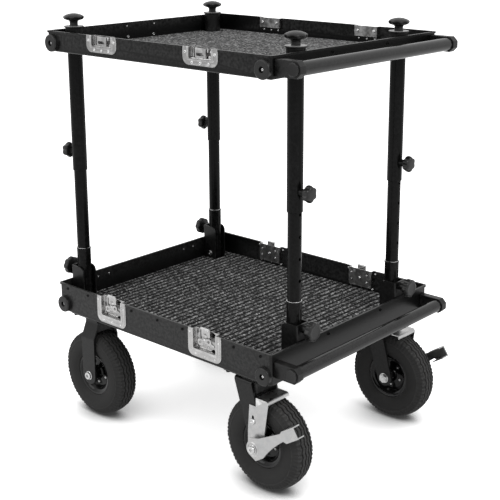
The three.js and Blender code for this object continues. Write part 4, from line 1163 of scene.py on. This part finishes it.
def swivel_plate_form(low, crown_top):
    """The fixed plate over a swivel caster, its raceway and the king pin that holds the fork."""
    race = turned([(38, low), (38, low - 1.2), (33, crown_top + 0.3), (26, crown_top + 0.3)], ROUND)
    pin = turned([(8, crown_top + 1), (8, crown_top - 5.4), (14, crown_top - 5.6), (14, crown_top - 10),
                  (12, crown_top - 12)], 6)
    return gather(*top_plate(low), paint(smooth(race), ZINC), paint(smooth(pin), STEEL))


# Brake, about the axle, for the -Y side
BRAKE = {"plate": 3, "play": 0.5, "guide_x": -11, "guide_z": 63, "under": 122.5, "front": 36, "lip": 115.6,
         "roll": 7}
BRAKE_INNER = OUTER + BRAKE["play"]
BRAKE_OUTER = BRAKE_INNER + BRAKE["plate"]


def brake_shoe_form():
    """A slotted side plate that rises past the tyre, crosses over the tread and rolls down in front."""
    under, front, lip = BRAKE["under"], BRAKE["front"], BRAKE["lip"]
    roll, sheet = BRAKE["roll"], BRAKE["plate"]
    top = under + sheet
    bend = [(front, lip)] + arc(front - roll, top - roll, roll, 0, 90, 8) + [(-2, top)]
    plate = [(-20, -16), (20, -16), (24, 0), (24, 34)] + bend + [(-2, 103), (-22, 103), (-27, 39), (-27, 0)]
    side = pushed(plate, "y", -BRAKE_OUTER, -BRAKE_INNER)
    roof = [(-2, under)] + arc(front - roll, top - roll, roll - sheet, 90, 0, 6)
    roof += [(front - sheet, lip)] + bend
    shoe = weld(side, pushed(roof, "y", -(BRAKE_OUTER + BRAKE_INNER) / 2, 30))
    slot = rounded(-8.3, 8.3, -30, 3, 8.2, 8.2, steps=8)
    guide = rounded(-2.9, 2.9, -3, 14.6, 2.85, 2.85, steps=6)
    carve(shoe, pushed([(x, z + FORK["bore"]) for x, z in slot], "y", -60, -40),
          pushed([(x + BRAKE["guide_x"], z + BRAKE["guide_z"]) for x, z in guide], "y", -60, -40))
    return paint(soften(shoe, 0.9, 3, 35), ZINC)


LEVER = {"sheet": 4, "gap": 9.5, "reach": 152, "pedal": 38, "half": 15, "flange": 25, "wall": 3, "angle": 33,
         "lobe": 28, "hub": 14, "heel": 20}
LEVER_INNER = BRAKE_OUTER + LEVER["gap"]
LEVER_OUTER = LEVER_INNER + LEVER["sheet"]


def curve(first, pull, last, steps=8):
    """A line that leaves one point towards a second and ends at a third."""
    shares = [i / steps for i in range(steps + 1)]
    return [tuple((1 - t) ** 2 * a + 2 * t * (1 - t) * b + t * t * c for a, b, c in zip(first, pull, last))
            for t in shares]


def brake_lever_form():
    """The foot lever: a hub plate with two lobes, a tapering arm and a channel for the foot."""
    inner, outer = LEVER_INNER, LEVER_OUTER
    reach, pedal, half, lobe = LEVER["reach"], LEVER["pedal"], LEVER["half"], LEVER["lobe"]
    neck = reach - pedal - half / 2
    plate = [(7, lobe), (18, 23), (32, 18), (neck, 11), (reach - pedal, half), (reach, half), (reach, -half),
             (reach - pedal, -half)] + curve((neck, -8), (58, -12), (21, -lobe)) + [(-7, -lobe)]
    plate += arc(0, 0, LEVER["heel"], 216, 126, 8)
    lever = pushed(plate, "y", -outer, -inner)
    foot_x, foot_y = (reach - pedal, reach), (-outer, -outer + LEVER["flange"])
    flanges = [block(foot_x, foot_y, (s * half, s * (half - LEVER["wall"]))) for s in (-1, 1)]
    tab = block((-7, 8), (-outer, -outer + 9), (-lobe, -lobe + 3))
    hub = rod(LEVER["hub"], "y", -outer + 0.5, -BRAKE_OUTER - 0.5)
    weld(lever, *flanges, tab, hub)
    carve(lever, rod(FORK["bore"], "y", -90, -30))
    soften(lever, 0.9, 3, 35)
    ring = turned([(14.5, 0), (18, 0), (18, 0.5), (17.2, 1), (15, 1), (14.5, 0.5)], 40, closed=True)
    moved(along(ring, "-y"), 0, -outer + 0.1, 0)
    lever = gather(paint(lever, ZINC), paint(smooth(ring), ZINC))
    return swung(lever, -math.radians(LEVER["angle"]), "Y")


# Every form set at its places
def on_both_sides(form, name, body, x, z, nodes=""):
    """Copies of a latch piece in the front wall and the rear wall; {} in the body's name is the place."""
    for end, side in ENDS.items():
        tail = f"{end}_{'left' if x < 0 else 'right'}"
        stamp(form, f"{name}_{tail}", body.format(tail), (MIDDLE + x, side * WALL[1], z),
              Matrix() if side < 0 else HALF_TURN, [f"{nodes}_{tail}"] if nodes else ())


def build_trays():
    for level, recess, form, latch, coat in (
            ("lower", LATCH["dish_recess"], dish_form(), "latch_dish", POWDER),
            ("upper", LATCH["keeper_recess"], keeper_form(), "latch_keeper", SHELF_POWDER)):
        base, body, height = BASE[level], BODY[level], TRAY[level]
        tray = tray_form(height, recess)
        if level == "upper":
            for post in POSTS.values():
                carve(tray, rod(COLLAR["hole"], "z", -5, 8, at=(post.x - MIDDLE, post.y, 0)))
        # The lip's upper bevel faces take a painted highlight; the fold's lower faces take the gloss push-bar
        # finish
        shade_faces(tray, (coat, EDGE, BAR), lambda f: 0.25 < f.normal.z < 0.97 and f.center.z > height - 2,
                    lambda f: -0.85 < f.normal.z < -0.15 and f.center.z < TRAY["fold"] + 0.3)
        stamp(tray, f"{level}_tray_sheet", body, (MIDDLE, 0, base), nodes=[f"{level}_tray"])
        for x in (-LATCH["x"], LATCH["x"]):
            on_both_sides(form, latch, body, x, base + height)
        disc = bumper_form()
        bumpers = []
        for x in (-BUMPER["x"], BUMPER["x"]):
            for side, way in ((-1, "-y"), (1, "y")):
                bumpers.append(moved(along(duplicate(disc), way), x, side * WALL[1], BUMPER[level]))
        stamp(gather(*bumpers), f"{level}_bumpers", body, (MIDDLE, 0, base))
        discard(disc, form, tray, bumpers[0])


SCREW = {"radius": 3.6, "height": 1.8, "socket": 1.8, "under_rim": 12, "left_z": 60, "shelf_z": 12}


def screw_row(spots, radius, socket, way):
    """Small screws at spots, their heads pointing one way."""
    screws = [along(socket_screw(radius, SCREW["height"], socket, 16), way) for _ in spots]
    return gather(*[moved(screw, *spot) for screw, spot in zip(screws, spots)])


def build_fasteners():
    """Screws and bolts in the trays' walls and floors."""
    wall_x, wall_y = WALL
    inside = TRAY["sheet"] - wall_x
    row_z = {level: TRAY[level] - SCREW["under_rim"] for level in BASE}
    long_row, handle_row, left_row = (-345, -262, -92, 4, 92, 262, 345), (-106, 106), (-186, -147, 147, 186)
    outer_rows = {
        "lower": [([(x, -wall_y, row_z["lower"]) for x in long_row], "-y"),
                  ([(x, wall_y, row_z["lower"]) for x in long_row], "y"),
                  ([(wall_x, y, row_z["lower"]) for y in handle_row], "x"),
                  ([(-wall_x, y, SCREW["left_z"]) for y in left_row], "-x"),
                  ([(x, y, 0) for x in (-200, 200) for y in (-180, 180)], "-z")],
        "upper": [([(wall_x, y, row_z["upper"]) for y in handle_row], "x"),
                  ([(-wall_x, y, SCREW["shelf_z"]) for y in (-47, 47)], "-x"),
                  ([(x, y, 0) for x in (-335, 335) for y in (-60, 60)], "-z")]}
    inner_rows = {"lower": [([(inside, y, SCREW["left_z"]) for y in left_row], 2.6)],
                  "upper": [([(inside, y, SCREW["shelf_z"] + 1) for y in (-47, 47)], 4.2),
                            ([(inside, y, 42) for y in (-50, 50)], 2.4)]}
    for level, base in BASE.items():
        outer = [screw_row(spots, SCREW["radius"], SCREW["socket"], way) for spots, way in outer_rows[level]]
        inner = [screw_row(spots, radius, radius / 2, "x") for spots, radius in inner_rows[level]]
        screws = gather(paint(gather(*outer), TUBE), *[paint(row, STEEL) for row in inner])
        stamp(screws, f"{level}_tray_screws", BODY[level], (MIDDLE, 0, base))


def build_carpets():
    edge = TRAY["sheet"] + CARPET["gap"]
    inner_x, inner_y = WALL[0] - edge, WALL[1] - edge
    for level, relief, cells, reach, half, material in (
            ("lower", ribs_relief, (402, 200), 323, 25.3, RIBBED),
            ("upper", loops_relief, (240, 200), 318, 28, LOOPED)):
        notches = []
        for post in POSTS.values():
            side = math.copysign(1, post.x - MIDDLE)
            along_x = (side * reach, side * (inner_x + 5))
            notches.append(block(along_x, (post.y - half, post.y + half), (-5, 40)))
        mat = carpet_form((inner_x * 2, inner_y * 2), CARPET[level], relief, cells, notches, material)
        place = (MIDDLE, 0, BASE[level] + TRAY["sheet"] + SEAT)
        stamp(mat, f"{level}_carpet", BODY[level], place, nodes=[f"{level}_deck"])


def build_posts():
    lower, upper = BASE["lower"], BASE["upper"]
    web = WALL[0] - TRAY["sheet"] - SEAT - abs(POSTS["front_right"].x - MIDDLE)
    top = node_box("upper_post_front_right")[1].z - lower
    clamp_seat, height_seat = web + BRACKET["boss_reach"] + SEAT, POST["boss_end"] + SEAT
    forms = {"post_bracket": bracket_form(web), "lower_post": lower_post_form(),
             "upper_post": upper_post_form(top), "top_knob": top_knob_form(),
             "clamp_knob": clamp_knob_form(clamp_seat - POST["socket"] - SEAT),
             "height_knob": height_knob_form(height_seat - POST["upper"] + 0.4)}
    collar = collar_form(TRAY["upper"] + COLLAR["rise"])
    for corner, post in POSTS.items():
        side = math.copysign(1, post.x - MIDDLE)
        turn = Matrix() if side > 0 else HALF_TURN
        for kind, name, body, slot in (("post_bracket", "bracket", "lower_body", "powder_coat"),
                                       ("lower_post", "lower_tube", "lower_body", "tube_coat"),
                                       ("upper_post", "upper_tube", "shelf", "tube_coat")):
            place = (post.x, post.y, lower)
            stamp(forms[kind], f"{name}_{corner}", body, place, turn, [f"{kind}_{corner}"])
        stamp(collar, f"post_collar_{corner}", "shelf", (post.x, post.y, upper))
        way = WAYS["x"] if side > 0 else WAYS["-x"]
        for kind, reach, z, pose in (("clamp_knob", clamp_seat, lower + POST["clamp"], way),
                                     ("height_knob", height_seat, lower + POST["knob"], way),
                                     ("top_knob", 0, upper + TRAY["upper"] + COLLAR["knob_seat"], Matrix())):
            stamp(forms[kind], f"{kind}_head_{corner}", f"{kind}_{corner}",
                  (post.x + side * reach, post.y, z), pose, [f"{kind}_{corner}"])
    discard(collar, *forms.values())


def build_handles():
    bar, arm = bar_form(), arm_form()
    for level, body in BODY.items():
        x, z = MIDDLE + WALL[0], BASE[level] + TRAY[level] / 2
        stamp(bar, f"{level}_push_bar", body, (x + HANDLE["axis"], 0, z),
              nodes=[f"{level}_handle_bar"])
        for end, turn in (("front", Matrix()), ("rear", MIRROR_Y)):
            stamp(arm, f"{level}_push_arm_{end}", body, (x, 0, z), turn,
                  [f"{level}_handle_arm_{end}"])
    discard(bar, arm)


def build_latch_wings():
    wing = wing_form()
    for x in (-LATCH["x"], LATCH["x"]):
        on_both_sides(wing, "latch_leaves", "latch_wing_{}", x, BASE["lower"] + TRAY["lower"] - LATCH["drop"],
                      "latch_wing")
    discard(wing)


def build_casters():
    plate_low = node_box("swivel_plate_front")[1].z - 5
    axle_z = middle_of("tyre_front_left").z
    tyre, rim, shoe, lever = tyre_form(), rim_form(), brake_shoe_form(), brake_lever_form()
    rigid, swivel = rigid_fork_form(plate_low - axle_z), swivel_fork_form()
    plate = swivel_plate_form(plate_low, axle_z + FORK["rise"])
    short_axle, long_axle = axle_form(OUTER + SEAT), axle_form(LEVER_OUTER + SEAT)
    for end, side in ENDS.items():
        turn = Matrix() if side < 0 else MIRROR_Y
        left, right = middle_of(f"tyre_{end}_left"), middle_of(f"tyre_{end}_right")
        cart, caster, pedal = "lower_body", f"caster_{end}", f"brake_lever_{end}"
        king_pin = (right.x - FORK["trail"], right.y, 0)
        for form, name, body, slot, place, pose, node in (
                (rigid, f"rigid_caster_{end}", cart, "powder_coat", left, Matrix(), f"rigid_fork_{end}"),
                (short_axle, f"axle_bolt_{end}_left", cart, "zinc", left, turn, f"axle_{end}_left"),
                (plate, f"swivel_top_{end}", cart, "powder_coat", king_pin, Matrix(), f"swivel_plate_{end}"),
                (swivel, f"swivel_caster_{end}", caster, "powder_coat", right, turn, f"swivel_fork_{end}"),
                (long_axle, f"axle_bolt_{end}_right", caster, "zinc", right, turn, f"axle_{end}_right"),
                (shoe, f"shoe_plate_{end}", f"brake_shoe_{end}", "zinc", right, turn, f"brake_shoe_{end}"),
                (lever, f"foot_lever_{end}", pedal, "zinc", right, turn, pedal)):
            stamp(form, name, body, place, pose, [node])
        for hand, place in (("left", left), ("right", right)):
            tail = f"{end}_{hand}"
            wheel = f"wheel_{tail}"
            stamp(tyre, f"pneumatic_tyre_{tail}", wheel, place, turn, [f"tyre_{tail}"])
            stamp(rim, f"steel_rim_{tail}", wheel, place, turn, [f"rim_{tail}"])
    discard(tyre, rim, rigid, swivel, plate, short_axle, long_axle, shoe, lever)


# Floor, background and light
def seen_rays(make):
    """Camera rays, and all rays that show a background: seen straight, mirrored or through glass."""
    path = make.add("LightPath").outputs
    indirect = make.math("MAXIMUM", path["Is Glossy Ray"], path["Is Transmission Ray"])
    return path["Is Camera Ray"], make.math("MAXIMUM", path["Is Camera Ray"], indirect)


def make_floor():
    """A white floor that glows a little; where the cart covers it, two reaches of occlusion darken it."""
    floor = start("plane", size=120, location=(0, 0, -0.0005))
    floor.name = "floor"
    material, make, sockets = new_material("Studio floor", Roughness=0.9, Specular_IOR_Level=0.0)
    camera_ray, seen = seen_rays(make)
    near = make.add("AmbientOcclusion", {"Distance": 0.2}, samples=12).outputs["AO"]
    wide = make.add("AmbientOcclusion", {"Distance": 0.6}, samples=12).outputs["AO"]
    shade = make.times(make.span(near, 0.3, 0.88, 0.06, 1.0), make.span(wide, 0.3, 0.6, 0.7, 1.0))
    mirrored = make.mix(seen, grey(0.62), grey(0.95))
    shown = make.mix(shade, grey(0.0), grey(1.2))
    make.put(sockets["Base Color"], make.mix(camera_ray, mirrored, shown))
    make.put(sockets["Emission Color"], grey(1.0))
    own = make.times(camera_ray, make.math("SUBTRACT", make.times(shade, 0.9), 0.3))
    make.put(sockets["Emission Strength"], make.math("ADD", make.times(seen, 0.3), own))
    floor.data.materials.append(material)
    floor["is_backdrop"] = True


def make_studio():
    bpy.context.scene.view_settings.view_transform = "Standard"
    make_floor()
    world = bpy.data.worlds.new("Studio")
    world.use_nodes = True
    bpy.context.scene.world = world
    make = Recipe(world.node_tree)
    background = world.node_tree.nodes["Background"]
    make.put(background.inputs["Color"], grey(1.0))
    make.put(background.inputs["Strength"], make.span(seen_rays(make)[1], 0.0, 1.0, 0.6, 1.0))
    area_light("key", (3.4, -0.6, 3.6), (0, 0, 0.5), size=2.4, power=75)
    area_light("fill", (-1.6, -3.2, 2.6), (0, 0, 0.5), size=2.6, power=30)


make_camera()
build_trays()
build_fasteners()
build_carpets()
build_posts()
build_handles()
build_latch_wings()
build_casters()
make_studio()

# Forms that were joined or left over don't stay in the scene
for item in list(bpy.context.scene.objects):
    if item.type == "MESH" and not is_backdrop(item) and body_of(item) is None:
        bpy.data.objects.remove(item)
